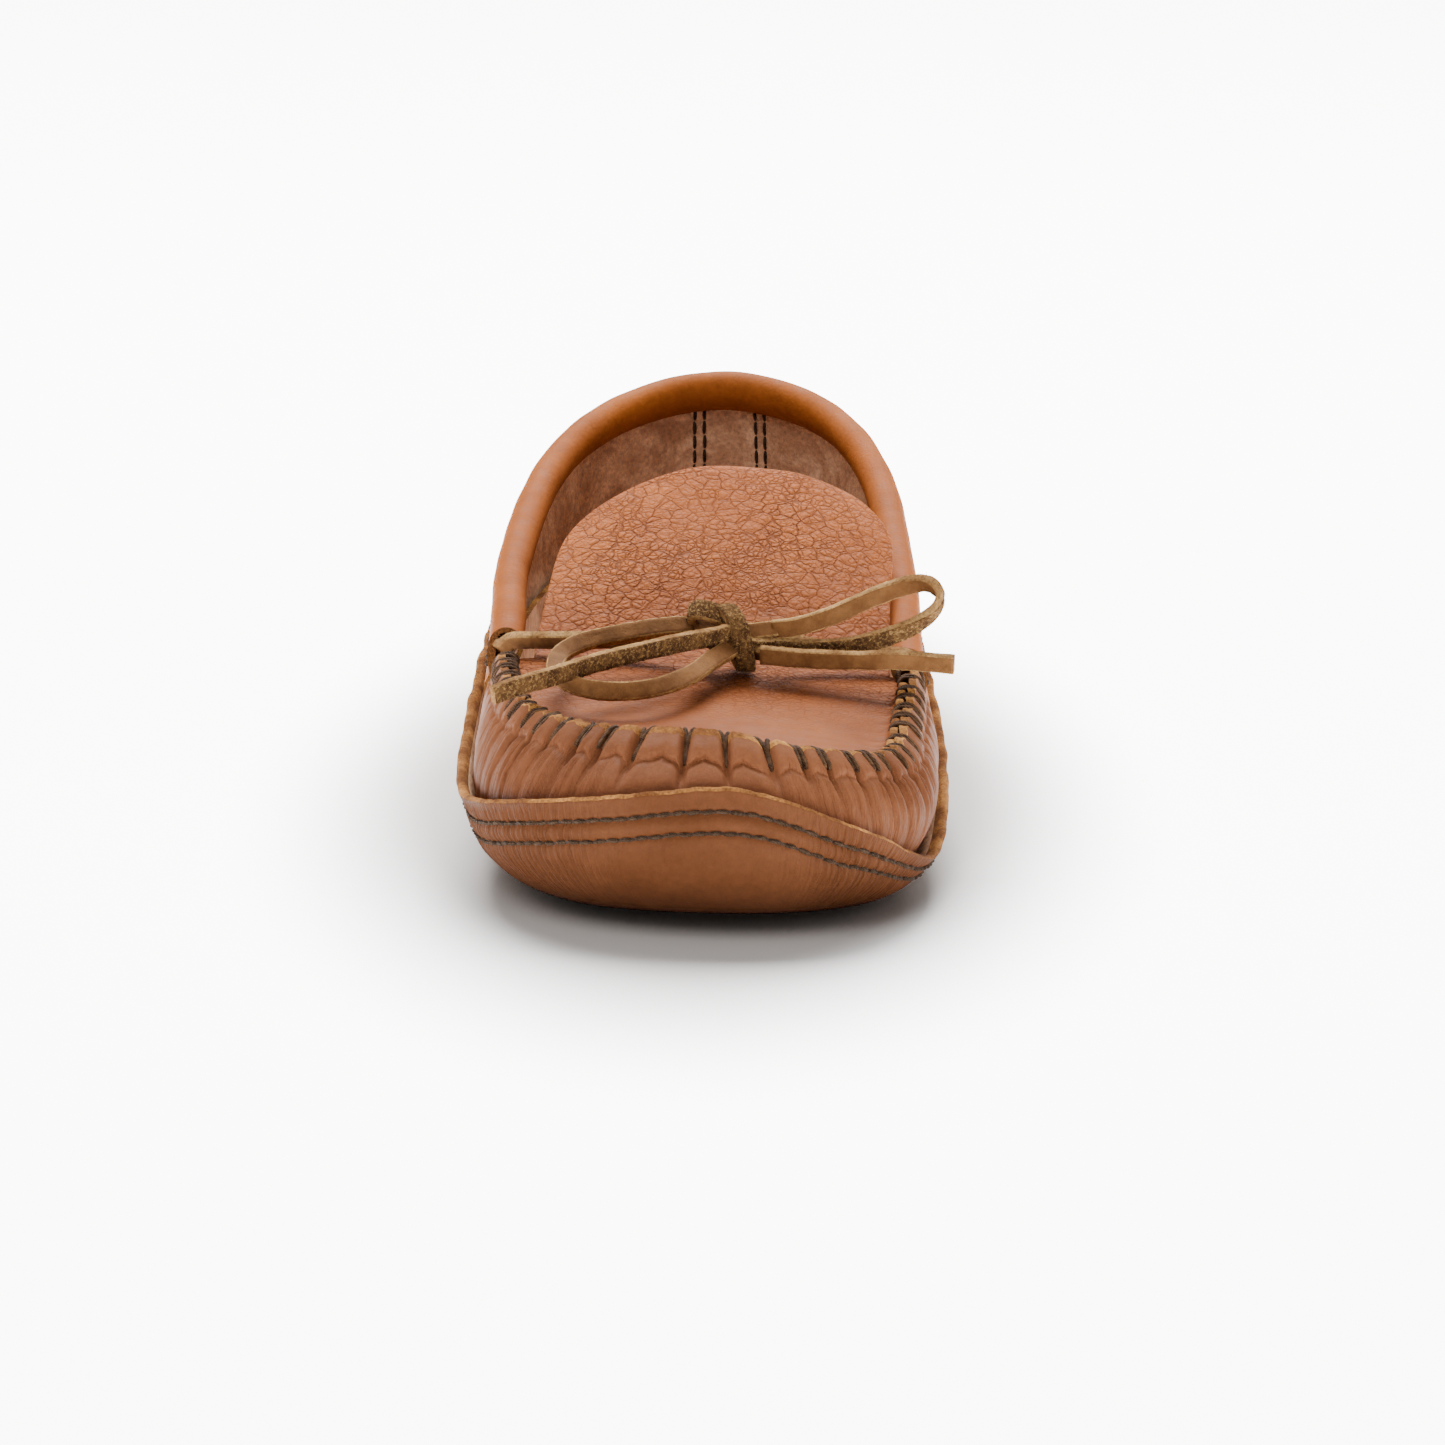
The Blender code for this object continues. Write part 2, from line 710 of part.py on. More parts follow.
# The taut runs from the collar's front ends to the knot, as the bow's routes are.
LATERAL_RUN = ((-43.5, 98.5, 46.0), (-39, 96, 46.7), (-22, 91, 47.8), (-3, 86.5, 48.8))
MEDIAL_RUN = ((44, 98.5, 42.4), (40, 95.5, 43.6), (28, 91, 45.7), (15.5, 86.5, 48.6))


def lace_runs(band):
    """Each run starts in line with the lace inside the collar."""
    for name, end, before, points in (
        ("lace_run_lateral", band[0], band[1], LATERAL_RUN),
        ("lace_run_medial", band[-1], band[-2], MEDIAL_RUN),
    ):
        forward = (end - before) / np.linalg.norm(end - before)
        rows = [end + forward * 3 * GAP, end + forward * 1.8 * MM]
        rows += [place(*(np.array(point) * MM)) for point in points]
        tube(name, catmull_rom(rows, closed=False, steps=3), LACE_RADIUS, LACE, sides=8)


outer_sole()
flat_plate("sole_pad", PAD_LOW, FOAM, PADDING)
vamp()
flat_plate("footbed", FOOTBED_LOW, FOAM, SUEDE)
plug()
tongue()
quarter()
heel_strip()
heel_stitches()
hem_stitch()
sole_stitches()
seam_thread()
bow()
lace_runs(lace_band())
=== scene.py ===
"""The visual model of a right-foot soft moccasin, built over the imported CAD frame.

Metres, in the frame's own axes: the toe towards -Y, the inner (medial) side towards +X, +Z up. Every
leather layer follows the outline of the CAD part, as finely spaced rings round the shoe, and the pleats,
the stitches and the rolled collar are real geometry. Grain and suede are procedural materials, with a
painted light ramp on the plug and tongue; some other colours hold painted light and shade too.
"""

import math
import random

import bmesh
import bpy
import numpy as np
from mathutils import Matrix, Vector, noise


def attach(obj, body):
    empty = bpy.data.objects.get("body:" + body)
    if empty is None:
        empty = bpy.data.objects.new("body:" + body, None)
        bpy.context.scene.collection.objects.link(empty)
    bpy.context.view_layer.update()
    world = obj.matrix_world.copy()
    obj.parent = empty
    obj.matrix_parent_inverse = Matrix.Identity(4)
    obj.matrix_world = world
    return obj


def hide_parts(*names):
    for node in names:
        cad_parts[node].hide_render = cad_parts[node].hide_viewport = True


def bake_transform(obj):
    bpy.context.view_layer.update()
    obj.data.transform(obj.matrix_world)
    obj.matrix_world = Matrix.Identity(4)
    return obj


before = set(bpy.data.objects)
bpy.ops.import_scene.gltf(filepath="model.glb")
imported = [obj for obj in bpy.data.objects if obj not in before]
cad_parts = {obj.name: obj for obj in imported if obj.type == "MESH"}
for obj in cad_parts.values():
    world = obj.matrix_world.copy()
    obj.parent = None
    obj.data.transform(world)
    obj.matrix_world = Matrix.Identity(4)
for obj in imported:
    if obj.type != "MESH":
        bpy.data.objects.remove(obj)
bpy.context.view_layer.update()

MM = 0.001

# The CAD part's own driving dimensions
LENGTH = 272 * MM
LEATHER = 1.8 * MM
SOLE_LEATHER = 2.0 * MM
FOAM = 3.0 * MM
GAP = 0.3 * MM
COLLAR_ROLL = 3.9 * MM
BALL_FRONT, BALL_BACK = 44 * MM, 84 * MM
SEAM_END = 93 * MM
TONGUE_ROOT = 100 * MM
COLLAR_START = 104 * MM
TOE_SPRING = 0.125
COLLAR_FRONT_TOP, COLLAR_HEEL_TOP = 45.5 * MM, 78 * MM
COLLAR_TILT = 0.045
PAD_LOW = SOLE_LEATHER + GAP
VAMP_LOW = PAD_LOW + FOAM + GAP
FOOTBED_LOW = VAMP_LOW + LEATHER + GAP
BODY_INSET = SOLE_LEATHER + GAP
VAMP_REAR_INSET = BODY_INSET + LEATHER + 0.7 * MM
VAMP_REAR_TOP = 35.5 * MM
PLUG_FRONT, PLUG_REAR = 34 * MM, 41.5 * MM
PLUG_TILT = 0.05
PLUG_CROWN = 2.0 * MM
TONGUE_LENGTH = 66 * MM
TONGUE_SLOPE = math.radians(26.5)
TONGUE_HALF_WIDTH = 39.5 * MM
TONGUE_CROWN = 4.0 * MM
SOLE_ROWS = (4.5 * MM, 9 * MM)
SOLE_ROWS_WIDE = 22 * MM
SPINE_FRONT, SPINE_BACK = 48 * MM, 226 * MM
SPINE_ACROSS = 1.0 * MM
MIDDLE = 1.2 * MM

# The CAD outline's stations, in millimetres: across, back from the toe, the width of the rounded edge
# underneath, the height where the wall is widest, the sole's edge, the lean at the rim and the rim.
OUTLINE = (
    (3.0, 272, 24, 24, 34, 0, 43),
    (25.5, 262, 22, 24, 33, 0, 43),
    (39.5, 240, 18, 24, 32, 0, 43),
    (46.3, 200, 16, 25, 32, 0, 43),
    (49.5, 150, 16, 26, 28, 0, 42),
    (52.5, 98, 18, 26, 20, 3, 41),
    (53.0, 60, 20, 24, 14, 6, 37.5),
    (49.5, 30, 20, 21, 10.5, 7, 33.5),
    (33.0, 8, 22, 19, 19.5, 9, 35.5),
    (8.0, 0, 23, 18, 29, 12, 38.8),
    (-21.0, 5, 25, 19, 26.8, 14, 39.5),
    (-41.5, 20, 26, 21, 24.5, 12, 40.5),
    (-52.0, 46, 24, 23, 22.5, 9, 42.5),
    (-53.5, 82, 20, 24, 26, 5, 44),
    (-50.5, 150, 16, 26, 35, 0, 44),
    (-45.3, 200, 16, 25, 35, 0, 43),
    (-35.8, 240, 18, 24, 34, 0, 43),
    (-20.0, 262, 22, 24, 34, 0, 43),
)

# Finish of the leather
GRAIN, RAW_EDGE, FLESH = 0, 1, 2  # a leather piece's materials
STATION_SPACING = 0.75 * MM
FINE_SPACING, COARSE_SPACING = 0.38 * MM, 1.4 * MM
SKIN = 0.01 * MM  # keeps a curved wall's first row off the flat bottom
FLOOR_SHARES = (0.7, 0.35, 0.03)  # the rows of an inner floor, from its wall to the middle line
PLUG_END = 94 * MM  # where the plug's piece hands over to the tongue's
PLUG_CENTRE = (2 * MM, 58 * MM - LENGTH / 2)
TIP_ROWS = 16
HEM_DOWN = 9.5 * MM
HEEL_STRIP_HALF = 13.5 * MM
HEEL_ROWS = {
    "lateral_outer": -11 * MM,
    "lateral_inner": -8 * MM,
    "medial_inner": 8 * MM,
    "medial_outer": 11 * MM,
}
LACE_ROUGH, LACE_SMOOTH, LACE_CUT = 0, 1, 2  # a lace's materials
STITCH_LENGTH = 3.2 * MM
THREAD_RADIUS = 0.48 * MM
SEAM_THREAD_RADIUS = 0.5 * MM
LACE_WIDTH, LACE_THICKNESS = 4.1 * MM, 2.1 * MM
LACE_TAN = (0.190, 0.086, 0.029, 1)
LACE_TAN_DARK = (0.115, 0.049, 0.016, 1)
LACE_BROWN = (0.060, 0.026, 0.010, 1)
FRONT = (0.0, -0.975, 0.22)

# The plug's turned-up edge from its underside over the top and down to the flat: millimetres in from the
# seam, the share of the way up to the rim, and how strongly it is pinched at the stitches
PLUG_EDGE = (
    (0.15, -0.2, 0), (0.0, 0.5, 0), (0.0, 0.86, 0), (0.2, 0.97, 0), (0.8, 1.0, 0), (1.4, 0.97, 0),
    (1.7, 0.86, 0.5), (1.9, 0.62, 1.0), (2.3, 0.38, 1.0), (2.9, 0.18, 1.0), (3.8, 0.06, 0.8),
    (4.9, 0.0, 0.45), (6.2, 0.0, 0.15),
)

# A seam strand above its start: the side (-1 the vamp's face, 1 the plug's), millimetres below the rim and
# millimetres out of the leather
SEAM_STRAND = (
    (-1, 1.3, -0.35), (-1, 0.3, -0.40), (-0.6, -0.62, 0.0), (0.0, -0.80, 0.0), (0.6, -0.62, 0.0),
    (1, 0.4, 0.40), (1, 1.6, 0.40), (1, 2.7, 0.40), (1, 3.4, -0.1),
)

# The collar's roll, in millimetres in from its outer wall and down: its end tucked under, and its inside
ROLLED_UNDER = ((7.7, 1.2), (7.2, 2.4), (6.4, 3.5), (5.5, 4.4), (4.6, 5.2), (4.0, 5.7), (2.1, 5.9))
ROLL_INSIDE = ((2.3, 5.0), (3.6, 4.1), (5.6, 2.6), (6.5, 1.3))


# ---------------------------------------------------------------- outline


def smooth(value, start, end):
    """From 0 at the start to 1 at the end, gently."""
    t = np.clip((value - start) / (end - start), 0, 1)
    return t * t * (3 - 2 * t)


def bell(value, width, power=2):
    """1 at a value of 0, falling away over a width."""
    return np.exp(-((value / width) ** power))


def bump_at(value, centre, width):
    return bell(value - centre, width)


def unit(vectors):
    """The same directions, each one long."""
    return vectors / (np.linalg.norm(vectors, axis=-1, keepdims=True) + 1e-12)


def catmull_rom(rows, closed, steps=24):
    """Points of the smooth curve through some rows."""
    rows = np.array(rows, float)
    count = len(rows)
    if closed:
        padded = np.concatenate([rows[-1:], rows, rows[:2]])
        stretches = count
    else:
        before, after = 2 * rows[0] - rows[1], 2 * rows[-1] - rows[-2]
        padded = np.concatenate([[before], rows, [after]])
        stretches = count - 1
    found = []
    for i in range(stretches):
        p0, p1, p2, p3 = padded[i : i + 4]
        t = (np.arange(steps) / steps)[:, None]
        straight = 2 * p1 + (p2 - p0) * t
        curved = (2 * p0 - 5 * p1 + 4 * p2 - p3) * t**2 + (3 * p1 - p0 - 3 * p2 + p3) * t**3
        found.append(0.5 * (straight + curved))
    if not closed:
        found.append(rows[-1:])
    return np.concatenate(found)


def lengths(points):
    """The length of each step along a line of points."""
    return np.linalg.norm(np.diff(points, axis=0), axis=1)


def totals(steps):
    """The running totals of some steps, from 0."""
    return np.concatenate([[0], np.cumsum(steps)])


def evenly(points, spacing, least=2):
    """Points at an even spacing along a line of points, in any number of columns."""
    along = totals(lengths(points[:, :3]))
    count = max(least, round(along[-1] / spacing) + 1)
    wanted = np.linspace(0, along[-1], count)
    return np.stack([np.interp(wanted, along, column) for column in points.T], axis=1)


def smoothed_outline():
    """The outline's rows, closed, with their fractions of its length."""
    rows = catmull_rom(np.array(OUTLINE) * MM, closed=True, steps=60)
    reach = 30
    weights = bell(np.arange(-reach, reach + 1), 14.0)
    weights /= weights.sum()
    wrapped = np.concatenate([rows[-reach:], rows, rows[:reach]])
    columns = [np.convolve(column, weights, "valid") for column in wrapped.T]
    rows = np.stack(columns, axis=1)
    rows = np.concatenate([rows, rows[:1]])
    along = totals(lengths(rows[:, :2]))
    return rows, along / along[-1], along[-1]


ROWS, ALONG, PERIMETER = smoothed_outline()
TOE = ALONG[ROWS[:, 1].argmin()]


def fraction_at(back, medial):
    """Where the outline passes a distance back from the toe, on one side."""
    choices = np.linspace(0, TOE, 6000) if medial else np.linspace(TOE, 1, 6000)
    backs = np.interp(choices, ALONG, ROWS[:, 1])
    return float(choices[np.abs(backs - back).argmin()])


def spring_at(y):
    """How far the toe's spring raises a place."""
    ahead = BALL_FRONT - LENGTH / 2 - y
    return TOE_SPRING * (ahead + np.sqrt(ahead**2 + (8 * MM) ** 2)) / 2


class Stations:
    """The outline's values at many places round the shoe, as arrays."""

    def __init__(self, fractions):
        self.fraction = np.asarray(fractions, float)
        self.around = self.fraction * PERIMETER
        wrapped = np.mod(self.fraction, 1.0)
        columns = [np.interp(wrapped, ALONG, column) for column in ROWS.T]
        self.across, self.back, self.roll, self.wide, self.edge, self.lean, self.rim = columns
        inward_x = SPINE_ACROSS - self.across
        inward_y = np.clip(self.back, SPINE_FRONT, SPINE_BACK) - self.back
        size = np.hypot(inward_x, inward_y)
        self.inward_x, self.inward_y = inward_x / size, inward_y / size
        self.spine = size
        backward = np.clip((self.back - COLLAR_START) / (LENGTH - COLLAR_START), -0.2, 1)
        tilt = COLLAR_TILT * self.across * (1 - backward)
        self.collar = COLLAR_FRONT_TOP + (COLLAR_HEEL_TOP - COLLAR_FRONT_TOP) * backward - tilt
        front_lean = 3 * (1 - smooth(self.back, COLLAR_START, 150 * MM))
        self.collar_lean = (-1 + front_lean + 4.5 * smooth(self.back, 200 * MM, LENGTH)) * MM

    def at(self, inset, height):
        """Points this far inside the outline at these heights, raised by the toe's spring."""
        x = self.across + self.inward_x * inset + MIDDLE
        y = self.back + self.inward_y * inset - LENGTH / 2
        return np.stack(np.broadcast_arrays(x, y, height + spring_at(y)), axis=-1)

    def rounded(self, height, inset, low):
        under = np.clip((self.wide - height) / (self.wide - low), 0, 1)
        return (self.roll - inset) * (1 - np.sqrt(1 - under**2))

    def wall(self, height, inset, low):
        above = np.maximum(0, (height - self.wide) / (self.rim - self.wide))
        return inset + self.rounded(height, inset, low) + self.lean * above**2

    def quarter_wall(self, height, further=0.0):
        above = np.maximum(0, (height - self.wide) / (self.collar - self.wide))
        inset = BODY_INSET + further
        return inset + self.rounded(height, inset, inset) + self.collar_lean * above**2

    def vamp_inset(self):
        behind = smooth(self.back, SEAM_END - 6 * MM, COLLAR_START - 1 * MM)
        return BODY_INSET + (VAMP_REAR_INSET - BODY_INSET) * behind

    def vamp_top(self):
        behind = smooth(self.back, SEAM_END, COLLAR_START - 2 * MM)
        return self.rim + (VAMP_REAR_TOP - self.rim) * behind


def whole_loop():
    """Stations all round the outline, closest together round the toe."""
    places = np.linspace(0, 1, 8001)
    back = np.interp(places, ALONG, ROWS[:, 1])
    spacing = FINE_SPACING + (COARSE_SPACING - FINE_SPACING) * smooth(back, 66 * MM, 125 * MM)
    counts = totals(PERIMETER / 8000 / spacing[:-1])
    total = round(counts[-1])
    wanted = np.arange(total) / total * counts[-1]
    return Stations(np.interp(wanted, counts, places))


def wave(x, y, seed):
    """Smooth noise between about -1 and 1 at each pair of coordinates."""
    x, y = np.broadcast_arrays(np.asarray(x, float), np.asarray(y, float))
    flat = [noise.noise((a, b, seed)) for a, b in zip(x.ravel(), y.ravel())]
    return np.array(flat).reshape(x.shape)


# ---------------------------------------------------------------- the hand-sewn seam

SEAM_FRACTIONS = fraction_at(SEAM_END - 2 * MM, True), fraction_at(SEAM_END - 2 * MM, False)


class Seam:
    """Counts the stitches along the seam, from the medial end round the toe to the lateral one."""

    def __init__(self):
        start, end = SEAM_FRACTIONS
        self.fractions = np.linspace(start, end, 3000)
        s = Stations(self.fractions)
        line = s.at(BODY_INSET + s.lean + LEATHER, s.rim)
        x, back = line[:, 0], line[:, 1] + LENGTH / 2
        ahead = 1 - smooth(back, 22 * MM, 50 * MM)
        front = bump_at(x, -1 * MM, 19 * MM) * ahead
        self.front = front
        pitch = 6.3 * MM + 2.1 * MM * front - 1.1 * MM * (1 - front) * ahead
        counts = totals(lengths(line) / ((pitch[1:] + pitch[:-1]) / 2))
        self.total = int(counts[-1])
        self.counts = counts * self.total / counts[-1]

    def count(self, fraction):
        """The stitch count at a fraction, with small unevenness, whole at each stitch."""
        k = np.interp(fraction, self.fractions, self.counts)
        return k + 0.09 * np.sin(k * 2.3) + 0.06 * np.sin(k * 5.1 + 1)

    def fraction(self, stitch):
        counts = self.count(self.fractions)
        return float(np.interp(stitch, counts, self.fractions))

    def frontness(self, fraction):
        return np.interp(fraction, self.fractions, self.front)


SEAM = Seam()


def seam_span(s):
    """1 along the seam and 0 behind its ends."""
    return 1 - smooth(s.back, SEAM_END - 5 * MM, SEAM_END + 3 * MM)


def tab(s):
    """How far a place is out of a stitch's pinch: 0 at a stitch and 1 between two."""
    width = 0.20 - 0.08 * SEAM.frontness(s.fraction)
    return 1 - bell(pinch_offset(s), width)


def pinch_offset(s, wander=0.0):
    """The distance from the nearest stitch, in stitches."""
    count = SEAM.count(s.fraction) + wander
    return count - np.round(count)


def corner_weight(s):
    """1 at the toe's two corners, where the leather is gathered most."""
    lateral = bump_at(s.back, 34 * MM, 30 * MM) * (s.across < 0)
    medial = bump_at(s.back, 24 * MM, 30 * MM) * (s.across >= 0)
    away = smooth(np.abs(s.across + 1 * MM), 12 * MM, 34 * MM)
    return (lateral + medial) * away


def vamp_relief(s, below):
    """How far the vamp's face stands out, this far below the seam's rim."""
    front = SEAM.frontness(s.fraction)
    corner = corner_weight(s)
    down = np.maximum(below, 0) + np.zeros_like(s.around)
    deep = smooth(down, 2 * MM, 12 * MM)
    off = pinch_offset(s, 0.22 * wave(s.around / (6 * MM), down / (10 * MM), 3.1) * deep)
    nearest = np.round(SEAM.count(s.fraction))
    chance = np.abs(np.sin(nearest * 12.9898) * 43.7585) % 1.0
    # The tabs, puffed out between the stitches, with a slit at each stitch
    width = 0.17 - 0.05 * front
    plateau = 1 - bell(off, width)
    reach = (5.4 * front + 4.4 * (1 - front) + 0.6 * (chance - 0.5) - 5.5 * front * off**2) * MM
    pillow = bell(down, reach, 6)
    relief = (0.9 + 1.2 * front) * MM * plateau * pillow
    relief -= (0.4 + 0.6 * front) * MM * (1 - smooth(down, reach, reach + 1.8 * MM))
    slit = 0.055 + 0.085 * front * np.exp(-down / (2.2 * MM)) + 0.010 * down / MM
    groove = bell(off, slit) * bell(down, reach * 1.3, 4)
    relief -= (0.8 + 1.1 * front + 0.5 * corner) * MM * groove
    # The valleys that run down from the stitches, and lesser ones between them at the corners
    run = (5 + 17 * corner) * MM * (0.65 + 0.7 * chance)
    valley = bell(off, 0.13 + 0.006 * down / MM) * bell(down, run)
    relief -= (0.25 + 1.05 * corner) * MM * valley
    second = bell(0.5 - np.abs(off), 0.13) * smooth(down, 3.5 * MM, 7 * MM)
    relief -= 0.8 * MM * corner * second * bell(down, 15 * MM) * (0.4 + 0.9 * chance)
    fan = wave(s.around / (1.9 * MM), down / (20 * MM), 7.7)
    faded = smooth(down, 2 * MM, 5 * MM) * (1 - smooth(down, 20 * MM, 34 * MM))
    relief += 0.30 * MM * corner * (0.5 - np.abs(fan)) * faded
    # Soft waves, the crease under each tab, the tabs' small wrinkles and the roll below them
    relief += 0.4 * MM * wave(s.around / (9 * MM), down / (8 * MM), 8.3) * smooth(down, 2 * MM, 8 * MM)
    crease = bump_at(down, reach + 0.7 * MM, 0.6 * MM) * plateau
    relief -= (0.35 + 0.55 * front) * MM * crease
    wrinkle = np.sin(down / (0.75 * MM) + 3 * wave(s.around / (3 * MM), down / (3 * MM), 5.5))
    relief += 0.13 * MM * (0.4 + front) * wrinkle * bump_at(down, 3.6 * MM, 2.2 * MM) * plateau
    swag = 7.6 * MM + 1.2 * MM * wave(s.around / (11 * MM), 0.0, 5.5)
    relief += 0.35 * MM * front * bump_at(down, swag + 2 * MM, 2.0 * MM)
    return relief * seam_span(s)


def edge_rise(s, tabs, lumps, rough):
    """How far a leather edge rises over the seam's rim: in flat tabs at the front, lumps at the sides.

    tabs has their height and each notch's depth and width, lumps their height and the depth between them,
    and rough the raw edge's height, wavelength and seed.
    """
    front = SEAM.frontness(s.fraction)
    height, depth, width = tabs
    notch = bell(pinch_offset(s), width)
    lump = np.abs(np.sin(np.pi * SEAM.count(s.fraction))) ** 0.8
    rise = front * (height - depth * notch) + (1 - front) * (lumps[0] * lump - lumps[1])
    raw = rough[0] * wave(s.around / (rough[1] * MM), 0.0, rough[2])
    return (rise + raw) * MM * seam_span(s)


def rim_rise(s):
    """The vamp's edge, notched at each stitch."""
    return edge_rise(s, (0.7, 2.9, 0.13), (2.2, 1.3), (0.22, 1.3, 1.7))


def plug_rise(s):
    """The plug's edge, which stands behind the vamp's tabs at the front."""
    return edge_rise(s, (1.15, 0.7, 0.16), (1.9, 1.1), (0.35, 1.4, 77.0))


# ---------------------------------------------------------------- meshes


class Builder:
    """Collects rings, tubes and faces into one mesh with material slots."""

    def __init__(self):
        self.points = []
        self.gathers = []
        self.faces = []
        self.slots = []
        self.count = 0

    def add(self, points, faces, slot=0, gather=None):
        points = np.asarray(points, float).reshape(-1, 3)
        self.points.append(points)
        self.gathers.append(np.zeros_like(points) if gather is None else gather.reshape(-1, 3))
        self.faces.extend([tuple(int(i) + self.count for i in face) for face in faces])
        self.slots.extend(np.broadcast_to(slot, (len(faces),)).tolist())
        self.count += len(points)

    def grid(self, rows, slots, wrap, gather=None):
        """Faces between neighbouring rows of points.

        slots is one material, or one for each strip, or a table with one for each face of a strip.
        """
        rows = np.asarray(rows, float)
        high, wide = rows.shape[:2]
        i = np.arange(wide if wrap else wide - 1)
        j = (i + 1) % wide
        low = np.arange(high - 1)[:, None] * wide
        faces = np.stack([low + i, low + j, low + wide + j, low + wide + i], axis=-1).reshape(-1, 4)
        slots = np.asarray(slots)
        slots = slots[:, None] if slots.ndim == 1 else slots
        self.add(rows, faces, np.broadcast_to(slots, (high - 1, len(i))).ravel(), gather)

    def cap(self, ring, slot=0, flip=False):
        order = range(len(ring))
        self.add(ring, [tuple(reversed(order)) if flip else tuple(order)], slot)

    def tube(self, path, radius, sides=8, slot=0):
        """A round tube along a path, closed at both ends."""
        path = np.asarray(path, float)
        tangents = unit(np.gradient(path, axis=0))
        side = side_vectors(tangents)
        up = np.cross(tangents, side)
        radius = np.broadcast_to(np.asarray(radius, float), (len(path),))
        angles = np.arange(sides) / sides * 2 * np.pi
        ring = np.stack([np.cos(angles), np.sin(angles)], axis=1)
        offsets = side[:, None] * ring[None, :, :1] + up[:, None] * ring[None, :, 1:]
        rows = path[:, None] + radius[:, None, None] * offsets
        self.grid(rows, slot, wrap=True)
        self.cap(rows[0], slot, flip=True)
        self.cap(rows[-1], slot)

    def build(self, name, materials, sharp=50):
        mesh = bpy.data.meshes.new(name)
        points = np.concatenate(self.points)
        mesh.from_pydata(points.tolist(), [], self.faces)
        for material in materials:
            mesh.materials.append(material)
        mesh.polygons.foreach_set("material_index", self.slots)
        for attribute, values in (("rest", points), ("gather", np.concatenate(self.gathers))):
            layer = mesh.attributes.new(attribute, "FLOAT_VECTOR", "POINT")
            layer.data.foreach_set("vector", values.astype(np.float32).ravel())
        weld(mesh)
        mesh.shade_smooth()
        if sharp:
            mesh.set_sharp_from_angle(angle=math.radians(sharp))
        obj = bpy.data.objects.new(name, mesh)
        bpy.context.scene.collection.objects.link(obj)
        return obj


def strap_section(width, thickness):
    """A strap's cut, a rectangle with small round corners, and the material of each of its sides."""
    half, deep, corner = width / 2, thickness / 2, 0.3 * MM
    corners = (
        (half, corner - deep, 3, LACE_CUT),
        (half, deep - corner, 1, LACE_CUT),
        (half - corner, deep, 5, LACE_SMOOTH),
        (corner - half, deep, 1, LACE_CUT),
        (-half, deep - corner, 3, LACE_CUT),
        (-half, corner - deep, 1, LACE_ROUGH),
        (corner - half, -deep, 5, LACE_ROUGH),
        (half - corner, -deep, 1, LACE_ROUGH),
    )
    ring, marks = [], []
    for i, (x, y, steps, mark) in enumerate(corners):
        next_x, next_y = corners[(i + 1) % len(corners)][:2]
        for t in np.arange(steps) / steps:
            ring.append([x * (1 - t) + next_x * t, y * (1 - t) + next_y * t])
            marks.append(mark)
    return np.array(ring), marks


def side_vectors(tangents):
    """A direction across the path at each point, turning as little as it can."""
    first = np.cross(tangents[0], [0.21, 0.35, 0.91])
    side = [first / np.linalg.norm(first)]
    for tangent in tangents[1:]:
        turned = side[-1] - tangent * np.dot(side[-1], tangent)
        side.append(turned / (np.linalg.norm(turned) + 1e-12))
    return np.array(side)


def weld(mesh):
    form = bmesh.new()
    form.from_mesh(mesh)
    bmesh.ops.remove_doubles(form, verts=form.verts, dist=1e-6)
    bmesh.ops.recalc_face_normals(form, faces=form.faces)
    form.to_mesh(mesh)
    form.free()


def gather_marks(s, below, strength):
    """For the material: distance round, distance down and how much the leather is gathered."""
    return np.stack(np.broadcast_arrays(s.around, below, strength), axis=-1)


def bend_at_ball(piece):
    """Bakes a piece's transform into its mesh; it does not bend it."""
    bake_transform(piece)


def stand_in(piece, slot, *nodes, bends=True):
    """Hides the parts that a piece stands for, and bakes its transform or moves it with the rear; the
    finish it is given is not used.
    """
    if nodes:
        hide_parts(*nodes)
    if bends:
        bend_at_ball(piece)
    else:
        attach(piece, "rear")


# ---------------------------------------------------------------- materials


